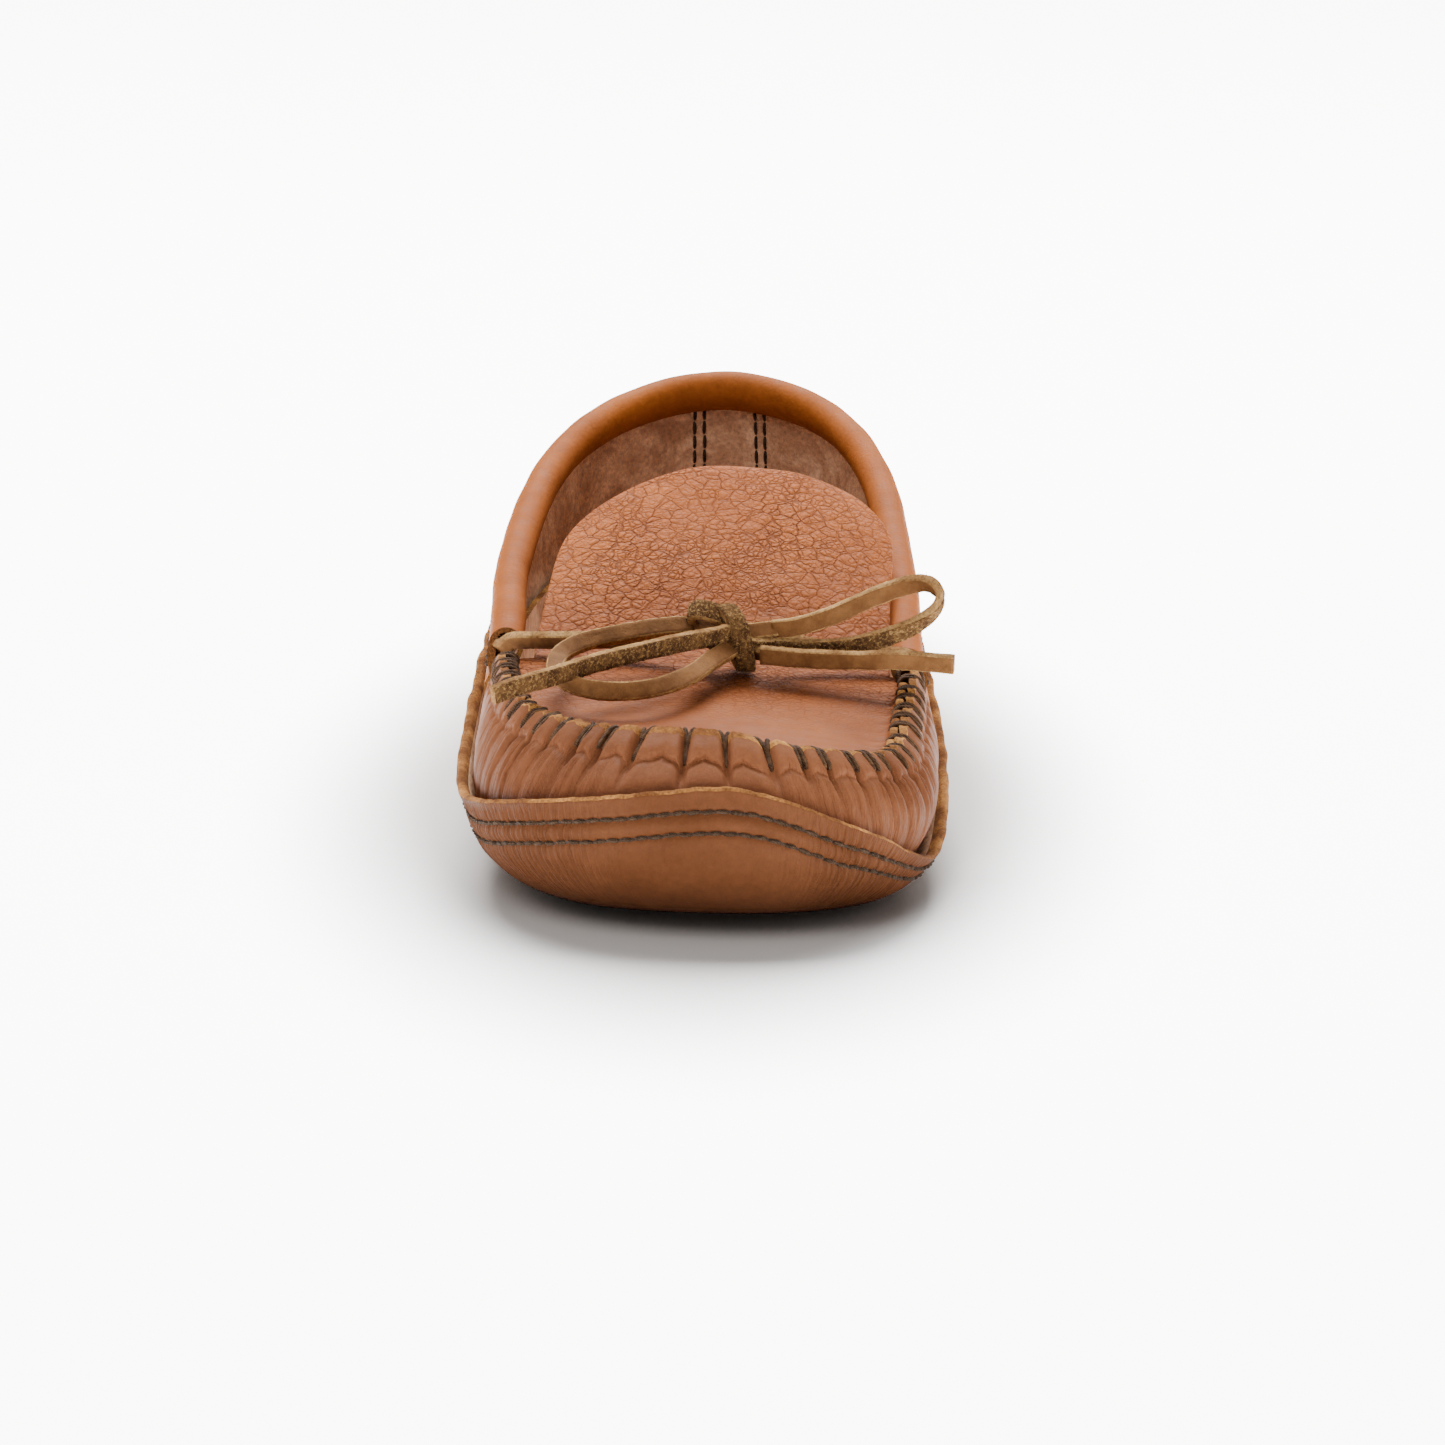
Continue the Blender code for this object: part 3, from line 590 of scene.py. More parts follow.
class Nodes:
    """A material's node tree, written one node a line."""

    def __init__(self, name):
        self.material = bpy.data.materials.new(name)
        self.material.use_nodes = True
        self.tree = self.material.node_tree
        self.shader = self.tree.nodes["Principled BSDF"]
        self.rest = self.node("ShaderNodeAttribute", attribute_name="rest").outputs["Vector"]

    def node(self, kind, inputs=None, **settings):
        node = self.tree.nodes.new(kind)
        for key, value in settings.items():
            setattr(node, key, value)
        for key, value in (inputs or {}).items():
            self.put(node.inputs[key], value)
        return node

    def put(self, socket, value):
        if isinstance(value, bpy.types.NodeSocket):
            self.tree.links.new(value, socket)
        else:
            socket.default_value = value

    def math(self, operation, a, b=0.0, c=0.0):
        return self.node("ShaderNodeMath", {0: a, 1: b, 2: c}, operation=operation).outputs[0]

    def times(self, a, b):
        return self.math("MULTIPLY", a, b)

    def plus(self, total, a, factor):
        """A total with a times a factor added."""
        return self.math("MULTIPLY_ADD", a, factor, total)

    def vectors(self, operation, a, b=(0, 0, 0), output=0, **inputs):
        node = self.node("ShaderNodeVectorMath", {0: a, 1: b, **inputs}, operation=operation)
        return node.outputs[output]

    def noise(self, scale, detail=4.0, rough=0.55, distortion=0.0, vector=None):
        inputs = {"Vector": vector or self.rest, "Scale": scale, "Detail": detail}
        inputs.update({"Roughness": rough, "Distortion": distortion})
        return self.node("ShaderNodeTexNoise", inputs).outputs["Fac"]

    def cells(self, scale, vector):
        """The distance to the nearest edge between cells."""
        inputs = {"Vector": vector, "Scale": scale, "Randomness": 1.0}
        return self.node("ShaderNodeTexVoronoi", inputs, feature="DISTANCE_TO_EDGE").outputs["Distance"]

    def between(self, value, low, high, start=0.0, end=1.0, smoother=True):
        inputs = {"Value": value, "From Min": low, "From Max": high, "To Min": start, "To Max": end}
        kind = "SMOOTHSTEP" if smoother else "LINEAR"
        return self.node("ShaderNodeMapRange", inputs, interpolation_type=kind).outputs["Result"]

    def mix(self, factor, a, b, blend="MIX"):
        node = self.node("ShaderNodeMix", {0: factor, 6: a, 7: b}, data_type="RGBA", blend_type=blend)
        return node.outputs[2]

    def average(self, a, b):
        return self.node("ShaderNodeMix", {0: 0.5, 2: a, 3: b}, data_type="FLOAT").outputs[0]

    def tinted(self, colour, tint):
        return self.mix(1.0, colour, tint, "MULTIPLY")

    def shaded(self, colour, value):
        """A colour made lighter or darker by a value."""
        gray = self.node("ShaderNodeCombineColor", {0: value, 1: value, 2: value}).outputs[0]
        return self.tinted(colour, gray)

    def warped(self, amount, scale):
        """The rest position pushed about by noise, so that cells lose their regularity."""
        inputs = {"Vector": self.rest, "Scale": scale, "Detail": 2.0}
        colour = self.node("ShaderNodeTexNoise", inputs).outputs["Color"]
        centred = self.vectors("SUBTRACT", colour, (0.5, 0.5, 0.5))
        return self.vectors("ADD", self.rest, self.vectors("SCALE", centred, Scale=amount))

    def bump(self, height, distance, strength=1.0, normal=None):
        node = self.node("ShaderNodeBump", {"Height": height, "Distance": distance, "Strength": strength})
        if normal is not None:
            self.put(node.inputs["Normal"], normal)
        return node.outputs["Normal"]

    def finish(self, **inputs):
        for key, value in inputs.items():
            self.put(self.shader.inputs[key.replace("_", " ")], value)
        return self.material


def grain_leather(name, light, dark, pebble, cell_scale, smooth_front_and_painted_light=False, gathered=False):
    """Full-grain leather: rounded pebbles with creases between, fine pores, soft colour changes, and on
    request a smoother front with a painted light ramp.
    """
    n = Nodes(name)
    broad = n.cells(cell_scale * 0.75, n.vectors("MULTIPLY", n.warped(2.4 * MM, 240), (0.85, 1.0, 1.0)))
    small = n.cells(cell_scale * 1.45, n.warped(1.6 * MM, 300))
    folded = n.between(broad, 0.0, 0.085, 1.0, 0.0)
    patches = n.between(n.noise(95, 2.0), 0.44, 0.58)
    lesser = n.times(n.between(small, 0.0, 0.12, 1.0, 0.0), n.plus(0.25, patches, 0.5))
    dome = n.average(n.between(broad, 0.0, 0.5), n.between(small, 0.0, 0.5))
    fine = n.between(n.cells(cell_scale * 2.6, n.warped(0.8 * MM, 700)), 0.0, 0.25, 1.0, 0.0)
    strength = n.between(n.noise(34, 2.0), 0.36, 0.62, 0.55, 1.0)
    painted_light_ramp = 1.0
    if smooth_front_and_painted_light:
        y = n.node("ShaderNodeSeparateXYZ", {0: n.rest}).outputs["Y"]
        strength = n.times(strength, n.between(y, -0.095, -0.040, 0.05, 1.0))
        # Painted light and shade: the colour runs from 0.78 at the plug's front to 1.28 towards the
        # tongue's tip, for the top light on the tongue.
        painted_light_ramp = n.between(y, -0.070, 0.020, 0.78, 1.28)
    depth = n.times(n.math("MAXIMUM", folded, lesser), strength)
    colour = n.mix(n.between(n.noise(30, 5.0, 0.6), 0.3, 0.72), dark, light)
    mottle = n.between(n.noise(420, 3.0, 0.6), 0.35, 0.65, 0.92, 1.05, smoother=False)
    colour = n.shaded(colour, n.times(mottle, painted_light_ramp))
    crease_colour = n.tinted(dark, (0.30, 0.22, 0.18, 1))
    colour = n.mix(n.times(depth, 0.8 * min(pebble, 0.8)), colour, crease_colour)
    height = n.plus(n.times(depth, -0.55), n.times(dome, strength), 0.8)
    height = n.plus(height, fine, n.times(strength, -0.10))
    height = n.plus(height, n.noise(2600, 3.0), 0.10)
    normal = n.bump(height, 0.7 * MM, pebble)
    if gathered:
        colour, normal = gathering(n, colour, dark, normal)
    rough = n.between(n.noise(210, 4.0), 0.3, 0.7, 0.52, 0.68, smoother=False)
    return n.finish(Base_Color=colour, Roughness=rough, Normal=normal, Specular_IOR_Level=0.04)


def gathering(n, colour, dark, normal):
    """Fine upright folds where the leather is gathered, from the mesh's own marks."""
    marks = n.node("ShaderNodeAttribute", attribute_name="gather").outputs["Vector"]
    around, below, strength = n.node("ShaderNodeSeparateXYZ", {0: marks}).outputs
    across = n.math("ADD", around, n.times(n.noise(160, 2.0), 0.0016))
    place = n.node("ShaderNodeCombineXYZ", {0: across, 1: n.times(below, 0.07), 2: 0.0}).outputs[0]
    ridge = n.math("ABSOLUTE", n.math("SUBTRACT", n.noise(850, 2.0, 0.5, 0.0, place), 0.5))
    depth = n.times(n.between(ridge, 0.0, 0.09, 1.0, 0.0), strength)
    colour = n.mix(n.times(depth, 0.2), colour, n.tinted(dark, (0.45, 0.38, 0.35, 1)))
    return colour, n.bump(n.times(depth, -1.0), 0.4 * MM, 0.5, normal)


def suede(name, light, dark, fuzz, scale=900):
    """The brushed flesh side: matte, with darker patches and a short nap."""
    n = Nodes(name)
    nap = n.noise(scale, 5.0, 0.7)
    colour = n.mix(n.between(n.noise(75, 4.0, 0.65, 0.6), 0.36, 0.66), dark, light)
    colour = n.shaded(colour, n.between(nap, 0.3, 0.7, 0.7, 1.25, smoother=False))
    height = n.plus(nap, n.noise(scale * 2.2, 4.0, 0.7), 0.5)
    return n.finish(
        Base_Color=colour,
        Roughness=0.96,
        Normal=n.bump(height, 0.5 * MM, fuzz),
        Specular_IOR_Level=0.1,
        Sheen_Weight=0.2,
        Sheen_Roughness=0.5,
        Sheen_Tint=light,
    )


def lace_suede(name):
    """The lace's flesh side: dark, with gold fibres brushed up from it."""
    n = Nodes(name)
    nap = n.noise(1500, 6.0, 0.8)
    colour = n.mix(n.between(n.noise(260, 4.0, 0.7), 0.38, 0.64), LACE_BROWN, (0.150, 0.075, 0.026, 1))
    colour = n.mix(n.times(n.between(nap, 0.50, 0.66), 0.85), colour, (0.480, 0.290, 0.105, 1))
    colour = n.mix(n.times(n.between(nap, 0.34, 0.46, 1.0, 0.0), 0.6), colour, (0.035, 0.015, 0.006, 1))
    normal = n.bump(nap, 0.8 * MM, 1.0)
    return n.finish(Base_Color=colour, Roughness=0.98, Normal=normal, Specular_IOR_Level=0.08)


def cut_edge(name, light, dark):
    """A raw cut edge: pale gold fibres between the two dyed faces."""
    n = Nodes(name)
    fibres = n.noise(1500, 5.0, 0.75)
    colour = n.mix(n.between(n.noise(120, 3.0), 0.35, 0.7), dark, light)
    colour = n.shaded(colour, n.between(fibres, 0.32, 0.68, 0.4, 1.4, smoother=False))
    return n.finish(
        Base_Color=colour,
        Roughness=0.95,
        Normal=n.bump(fibres, 0.6 * MM, 1.0),
        Specular_IOR_Level=0.1,
        Sheen_Weight=0.15,
        Sheen_Tint=light,
    )


def waxed_thread(name, light, dark):
    """Waxed thread: dark, a little glossy, with the ply's fine twist."""
    n = Nodes(name)
    inputs = {"Vector": n.rest, "Scale": 900.0, "Distortion": 1.2, "Detail": 1.0}
    twist = n.node("ShaderNodeTexWave", inputs, bands_direction="DIAGONAL").outputs["Fac"]
    colour = n.mix(n.between(n.noise(700, 3.0), 0.3, 0.7), dark, light)
    colour = n.mix(n.times(twist, 0.3), colour, n.tinted(light, (1.5, 1.5, 1.5, 1)))
    normal = n.bump(twist, 0.2 * MM, 0.7)
    return n.finish(Base_Color=colour, Roughness=0.72, Normal=normal, Specular_IOR_Level=0.08)


def lace_skin(name):
    """The lace's smooth side: waxed, lighter than the shoe, with small creases."""
    n = Nodes(name)
    colour = n.mix(n.between(n.noise(160, 5.0, 0.65), 0.3, 0.7), LACE_TAN_DARK, LACE_TAN)
    crackle = n.between(n.cells(2300, n.warped(0.6 * MM, 900)), 0.0, 0.16, 1.0, 0.0)
    colour = n.mix(n.times(crackle, 0.12), colour, LACE_BROWN)
    normal = n.bump(n.plus(n.noise(1200, 4.0), crackle, -0.3), 0.3 * MM, 0.9)
    return n.finish(Base_Color=colour, Roughness=0.75, Normal=normal, Specular_IOR_Level=0.06)


def felt(name):
    """The pad's felt, in grey brown fibres."""
    n = Nodes(name)
    fibres = n.noise(1800, 6.0, 0.75)
    colour = n.mix(n.between(fibres, 0.3, 0.7), (0.12, 0.10, 0.075, 1), (0.24, 0.21, 0.16, 1))
    return n.finish(Base_Color=colour, Roughness=0.98, Normal=n.bump(fibres, 0.6 * MM, 0.8))


def painted_hole_shade(name):
    """Painted shade: the near-black inside of a needle's hole."""
    n = Nodes(name)
    colour = n.mix(n.noise(900, 3.0), (0.012, 0.005, 0.003, 1), (0.03, 0.014, 0.008, 1))
    return n.finish(Base_Color=colour, Roughness=0.9)


# The plug's and tongue's leather: smoother at the front, with painted light that makes it lighter towards
# the back.
PLUG_LEATHER = grain_leather(
    "plug_leather", (0.255, 0.076, 0.021, 1), (0.188, 0.053, 0.015, 1), 0.9, 430, smooth_front_and_painted_light=True
)
# Painted shade: the vamp is given a darker copy of the plug's leather colour, for the shade on its front
# faces.
VAMP_LEATHER_SHADED = grain_leather(
    "vamp_leather", (0.158, 0.057, 0.024, 1), (0.104, 0.036, 0.015, 1), 0.12, 620, gathered=True
)
# Painted shade: the sole's band is darker still, for the shade on the shoe's lower faces.
SOLE_GRAIN_SHADED = grain_leather(
    "sole_leather", (0.103, 0.037, 0.015, 1), (0.074, 0.025, 0.009, 1), 0.08, 700, gathered=True
)
QUARTER_LEATHER = grain_leather(
    "quarter_leather", (0.258, 0.071, 0.012, 1), (0.192, 0.051, 0.009, 1), 0.12, 560
)
# Painted light: the lining is the suede's own tone made brighter, for the light that falls inside the shoe.
LIT_LINING = suede("lining_suede", (0.760, 0.460, 0.280, 1), (0.430, 0.225, 0.125, 1), 0.9)
FOOTBED_SUEDE = suede("footbed_suede", (0.320, 0.140, 0.070, 1), (0.190, 0.080, 0.040, 1), 0.8)
LACE_SUEDE = lace_suede("lace_suede")
LACE_SKIN = lace_skin("lace_skin")
SEAM_CUT = cut_edge("seam_cut_edge", (0.440, 0.200, 0.052, 1), (0.150, 0.052, 0.014, 1))
CUT = cut_edge("cut_edge", (0.360, 0.155, 0.040, 1), (0.130, 0.046, 0.012, 1))
LACE_EDGE = cut_edge("lace_edge", (0.420, 0.240, 0.090, 1), (0.200, 0.095, 0.030, 1))
SEAM_THREAD = waxed_thread("seam_thread", (0.070, 0.034, 0.015, 1), (0.018, 0.008, 0.004, 1))
SOLE_THREAD = waxed_thread("sole_thread", (0.050, 0.029, 0.017, 1), (0.016, 0.009, 0.005, 1))
FELT = felt("felt")


# ---------------------------------------------------------------- outer sole


def toward_spine(s, ring, share, height):
    """A ring of bottom points drawn in towards the middle line, at a height."""
    inset = np.hypot(ring[:, 0] - MIDDLE - s.across, ring[:, 1] + LENGTH / 2 - s.back)
    return s.at(inset + (s.spine - inset) * (1 - share), height)


def cupped_layer(name, materials, s, under, outer, marks, rim, inner, floor, cut_strips):
    """A layer cupped round the foot, from the rows of its underside, face, rim, inner face and floor."""
    rows = under + outer + rim + inner + floor
    plain = gather_marks(s, 0.0, 0.0)
    marks = [plain] * len(under) + marks + [plain] * (len(rim) + len(inner) + len(floor))
    slots = [GRAIN] * (len(under) + len(outer) - 1) + [RAW_EDGE] * cut_strips
    slots += [FLESH] * (len(rows) - 1 - len(slots))
    make = Builder()
    make.grid(rows, slots, wrap=True, gather=np.array(marks))
    make.cap(rows[0], GRAIN, flip=True)
    make.cap(rows[-1], FLESH)
    return make.build(name, materials)


def sole_gather(s, below):
    """Fine upright pleats where the sole leather turns round the toe's corners."""
    wander = 0.5 * wave(s.around / (5 * MM), below / (9 * MM), 21.0)
    fine = np.sin(s.around / (0.29 * MM) + 2.6 * wave(s.around / (3.5 * MM), 0.0, 24.0) + wander)
    uneven = 0.45 + 0.75 * np.abs(wave(s.around / (4 * MM), below / (12 * MM), 27.0))
    faded = smooth(below, 0.4 * MM, 2.5 * MM) * (1 - smooth(below, 12 * MM, 24 * MM))
    broad = wave(s.around / (15 * MM), below / (10 * MM), 33.0)
    return (0.38 * sole_corner(s) * fine * uneven * faded + 0.22 * broad) * MM


def sole_corner(s):
    """How strongly the sole leather is gathered: most at the toe's corners, a little all round the toe."""
    return np.clip(corner_weight(s) * 1.3 + 0.12 * (s.back < 60 * MM), 0, 1)


def sole_squeeze(s):
    """How much the stitch rows draw together with a low edge."""
    return np.minimum(1, s.edge / SOLE_ROWS_WIDE)


def sole_relief(s, below):
    """How far the sole's outer face stands out, this far below its edge."""
    squeeze = sole_squeeze(s)
    upper, lower = SOLE_ROWS[0] * squeeze, SOLE_ROWS[1] * squeeze
    channel = 0.42 * MM * squeeze**0.5
    relief = -channel * bump_at(below, upper, 0.75 * MM) - channel * bump_at(below, lower, 0.75 * MM)
    relief += 0.35 * MM * bump_at(below, (upper + lower) / 2, 1.3 * MM)
    relief += 0.25 * MM * bump_at(below, lower + 3 * MM, 2 * MM)
    flare = (1.5 + 0.5 * wave(s.around / (9 * MM), 0.0, 12.0)) * MM
    relief += flare * bell(below, 2.3 * MM, 1.3)
    return relief + sole_gather(s, below)


def edge_waver(s):
    """The unevenness of the sole's cut edge."""
    broad = 0.35 * wave(s.around / (7 * MM), 0.0, 41.0)
    return (broad + 0.2 * wave(s.around / (2.2 * MM), 0.0, 44.0)) * MM


def sole_face(s, height, below):
    """Points of the sole's outer face."""
    return s.at(s.wall(height, 0.0, 0.0) - sole_relief(s, below), height)


def thread_rise():
    """How far each point of a stitch stands out of its leather, from 0 at its ends to 1."""
    return np.sin(np.linspace(0, math.pi, 7)) ** 0.6


def outer_sole():
    s = whole_loop()
    squeeze = sole_squeeze(s)
    band = 13 * MM * squeeze
    waver = edge_waver(s)
    outer, marks = [], []
    corner = sole_corner(s)
    for turn in np.linspace(0, math.pi / 2, 15)[:-1]:
        height = (s.edge - band) * (1 - math.cos(turn)) + SKIN
        outer.append(sole_face(s, height, s.edge - height))
        faded = 1 - smooth(s.edge - height, 14 * MM, 28 * MM)
        marks.append(gather_marks(s, s.edge - height, corner * faded))
    for share in np.linspace(0, 1, 34):
        below = band * (1 - share)
        outer.append(sole_face(s, s.edge - below + waver * share**3, below))
        marks.append(gather_marks(s, below, corner))
    under = [toward_spine(s, outer[0], share, 0.0) for share in (0.03, 0.2, 0.4, 0.6, 0.8, 0.92)]
    flare = s.wall(s.edge, 0.0, 0.0) - sole_relief(s, 0 * s.edge)
    rim = [
        s.at(flare + inset * MM, s.edge + waver + up * MM)
        for inset, up in ((0.2, 0.35), (0.75, 0.7), (1.4, 0.75), (1.9, 0.4))
    ]
    inner = []
    for share in np.linspace(0.12, 1, 7):
        below = 8 * MM * squeeze * share
        outward = (1.5 * MM) * np.exp(-below / (1.6 * MM))
        inset = s.wall(s.edge - below, SOLE_LEATHER, SOLE_LEATHER) - outward
        inner.append(s.at(inset, s.edge - below))
    for share in (0.7, 0.45, 0.25, 0.1, 0.02):
        height = SOLE_LEATHER + (s.edge - 8 * MM * squeeze - SOLE_LEATHER) * share
        inner.append(s.at(s.wall(height, SOLE_LEATHER, SOLE_LEATHER), height))
    floor = [toward_spine(s, inner[-1], share, SOLE_LEATHER) for share in FLOOR_SHARES]
    materials = [SOLE_GRAIN_SHADED, CUT, LIT_LINING]
    sole = cupped_layer("sole_leather", materials, s, under, outer, marks, rim, inner, floor, 5)
    stand_in(sole, "grain_leather", "outer_sole_toe", "outer_sole_ball", "outer_sole_rear")


def sole_stitches():
    """Two rows of separate stitches round the sole, each sunk at its needle holes."""
    rng = random.Random(5)
    count = round(PERIMETER / STITCH_LENGTH)
    rise = thread_rise()
    for row, (label, depth) in enumerate(zip(("upper", "lower"), SOLE_ROWS)):
        make = Builder()
        holes = Builder()
        for i in range(count):
            start = (i + 0.5 * row) / count
            s = Stations(start + np.linspace(0.07, 0.93, 7) / count)
            below = depth * sole_squeeze(s) + rng.uniform(-0.12, 0.12) * MM
            slant = rng.uniform(-0.15, 0.15) * MM
            face = s.wall(s.edge - below, 0.0, 0.0) - sole_relief(s, below)
            inset = face + 0.25 * MM - (THREAD_RADIUS + 0.22 * MM) * rise
            height = s.edge - below + slant * np.linspace(-1, 1, 7)
            make.tube(s.at(inset, height), THREAD_RADIUS * (0.8 + 0.2 * rise), 6)
            # Painted shade: a short near-black plug at each needle hole, for the shade inside the hole.
            hole = Stations([start])
            level = hole.edge - below[0]
            face = hole.wall(level, 0.0, 0.0) - sole_relief(hole, below[:1])
            spot = [hole.at(face + deep * MM, level)[0] for deep in (-0.12, 0.2, 0.5)]
            holes.tube(spot, 0.36 * MM, 7)
        thread = make.build(f"sole_stitch_{label}_thread", [SOLE_THREAD])
        stretches = ("toe", "ball_medial", "ball_lateral", "rear")
        stand_in(thread, "waxed_thread", *[f"sole_stitch_{label}_{stretch}" for stretch in stretches])
        stand_in(holes.build(f"painted_hole_shades_{label}", [HOLE_SHADE]), "grain_leather")


HOLE_SHADE = painted_hole_shade("painted_hole_shade")


# ---------------------------------------------------------------- vamp


def vamp():
    """The gathered upper leather, from under the foot to the seam's rim."""
    s = whole_loop()
    inset0 = s.vamp_inset()
    top = s.vamp_top() + rim_rise(s)
    hidden = s.edge - 3 * MM
    corner = corner_weight(s)
    outer, marks = [], []
    for turn in np.linspace(0, math.pi / 2, 9)[:-1]:
        height = VAMP_LOW + (hidden - VAMP_LOW) * (1 - math.cos(turn)) + SKIN
        outer.append(s.at(s.wall(height, inset0, VAMP_LOW), height))
        marks.append(gather_marks(s, top - height, 0.0))
    for share in 1 - np.linspace(1, 0, 64) ** 1.35:
        height = hidden + (top - hidden) * share
        relief = vamp_relief(s, top - height) * smooth(share, 0, 0.12)
        outer.append(s.at(s.wall(height, inset0, VAMP_LOW) - relief, height))
        faded = smooth(top - height, 1.5 * MM, 5 * MM)
        marks.append(gather_marks(s, top - height, (0.12 + 0.88 * corner) * faded))
    under = [toward_spine(s, outer[0], share, VAMP_LOW) for share in (0.03, 0.35, 0.7)]
    crest_relief = vamp_relief(s, 0 * top)
    crest = s.wall(top, inset0, VAMP_LOW) - crest_relief
    slope = 0.3 + 0.7 * SEAM.frontness(s.fraction) * seam_span(s)
    rim = [
        s.at(crest + 0.2 * MM, top + 0.30 * MM),
        s.at(crest + 0.8 * MM, top + 0.8 * slope * MM),
        s.at(crest + 1.5 * MM, top + 1.3 * slope * MM),
        s.at(crest + LEATHER, top + 1.2 * slope * MM),
    ]
    inner = []
    for share in np.linspace(0.05, 0.98, 16):
        height = top + (VAMP_LOW + LEATHER - top) * share
        fade = bell(top - height, 3 * MM)
        base = s.wall(height, inset0 + LEATHER, VAMP_LOW + LEATHER)
        hollow = np.minimum(vamp_relief(s, top - height), 0)
        inner.append(s.at(base - crest_relief * fade - hollow * (1 - fade), height))
    floor = [toward_spine(s, inner[-1], share, VAMP_LOW + LEATHER) for share in FLOOR_SHARES]
    materials = [VAMP_LEATHER_SHADED, SEAM_CUT, LIT_LINING]
    piece = cupped_layer("vamp_leather", materials, s, under, outer, marks, rim, inner, floor, 4)
    stand_in(piece, "grain_leather", "vamp_toe", "vamp_ball", "vamp_rear")


# ---------------------------------------------------------------- plug and tongue


def plug_height(across, back):
    share = (back - 16 * MM) / (TONGUE_ROOT - 16 * MM)
    crown = PLUG_CROWN * (1 - (across / (40 * MM)) ** 2)
    return PLUG_FRONT + (PLUG_REAR - PLUG_FRONT) * share - PLUG_TILT * across + crown


def plug_surface(x, y):
    """The plug's top at a place, with soft hollows."""
    hollow = 0.35 * MM * wave(x / (24 * MM), y / (24 * MM), 61.0)
    return plug_height(x, y + LENGTH / 2) + spring_at(y) + hollow


def plug():
    """The apron, with its edge turned up inside the vamp's rim."""
    ends = [fraction_at(PLUG_END, medial) for medial in (True, False)]
    count = round(PERIMETER * (ends[1] - ends[0]) / STATION_SPACING)
    s = Stations(np.linspace(ends[0], ends[1], count))
    span = seam_span(s)
    shape = tab(s) * span
    crest = s.vamp_inset() + LEATHER + GAP + s.lean + (0.5 * MM) * (shape - 0.5) * span
    up = 1 - smooth(s.back, SEAM_END - 14 * MM, SEAM_END)
    rise = plug_rise(s)
    pinch = 0.5 * MM * (shape - 0.6)
    back_y = PLUG_END - LENGTH / 2
    closed = []
    for k, (further, share, pinched) in enumerate(PLUG_EDGE):
        flat = s.at(crest + further * MM, 0.0)
        ground = plug_surface(flat[:, 0], flat[:, 1])
        top = s.rim + spring_at(flat[:, 1]) + rise
        line = np.column_stack([flat[:, :2], ground + share * up * (top - ground) + pinch * pinched * span])
        x = np.linspace(line[-1, 0], line[0, 0], 110)[1:-1]
        y = np.full_like(x, back_y)
        sunk = LEATHER if k == 0 else 0.0
        rear = np.column_stack([x, y, plug_surface(x, y) - sunk])
        closed.append(np.concatenate([line, rear]))
    last = closed[-1]
    centre = np.array(PLUG_CENTRE)
    for share in np.linspace(0.96, 0.02, 34):
        flat = centre + (last[:, :2] - centre) * share
        flat[count:, 1] = back_y + (centre[1] - back_y) * (1 - share)
        closed.append(np.column_stack([flat, plug_surface(flat[:, 0], flat[:, 1])]))
    make = Builder()
    make.grid(closed, [RAW_EDGE] * 6 + [GRAIN] * (len(closed) - 7), wrap=True)
    make.cap(closed[-1], GRAIN)
    under = [row - np.array([0, 0, LEATHER]) for row in closed[len(PLUG_EDGE) - 1 :]]
    make.grid([closed[0], *under], FLESH, wrap=True)
    make.cap(under[-1], FLESH, flip=True)
    piece = make.build("plug_leather_piece", [PLUG_LEATHER, SEAM_CUT, LIT_LINING])
    stand_in(piece, "grain_leather", "plug_toe", "plug_ball", "plug_rear")


def tongue_half(t):
    """Half the tongue's width at a share of its length, round at the tip."""
    tip = np.sqrt(np.clip(1 - np.clip((t - 0.52) / 0.48, 0, 1) ** 3.1, 0, 1))
    return TONGUE_HALF_WIDTH * (1 - 0.06 * t) * tip


def tongue_top(share, t):
    """A point of the tongue's top: share from -1 to 1 across, t from the fold to the tip."""
    along = t * TONGUE_LENGTH
    x = (1 + 3 * t + 5 * t**3) * MM + tongue_half(t) * share
    lift = along * math.sin(TONGUE_SLOPE) * smooth(t, -0.6, 0.35)
    crown = TONGUE_CROWN * t * (1 - (x / TONGUE_HALF_WIDTH) ** 2)
    back = TONGUE_ROOT + 2 * MM + along * math.cos(TONGUE_SLOPE)
    base = plug_height(x, TONGUE_ROOT) + (1.6 * PLUG_TILT * x - 2.0 * MM) * t
    ripple = 0.5 * MM * wave(x / (20 * MM), back / (17 * MM), 71.0) * smooth(t, 0, 0.3)
    near_edge = np.maximum(np.abs(share) ** 6, np.clip((t - 0.5) / 0.5, 0, 1) ** 16)
    height = base + lift + crown + ripple - near_edge * 1.2 * MM * smooth(t, 0.0, 0.4)
    return np.stack(np.broadcast_arrays(x + MIDDLE, back - LENGTH / 2, height), axis=-1)


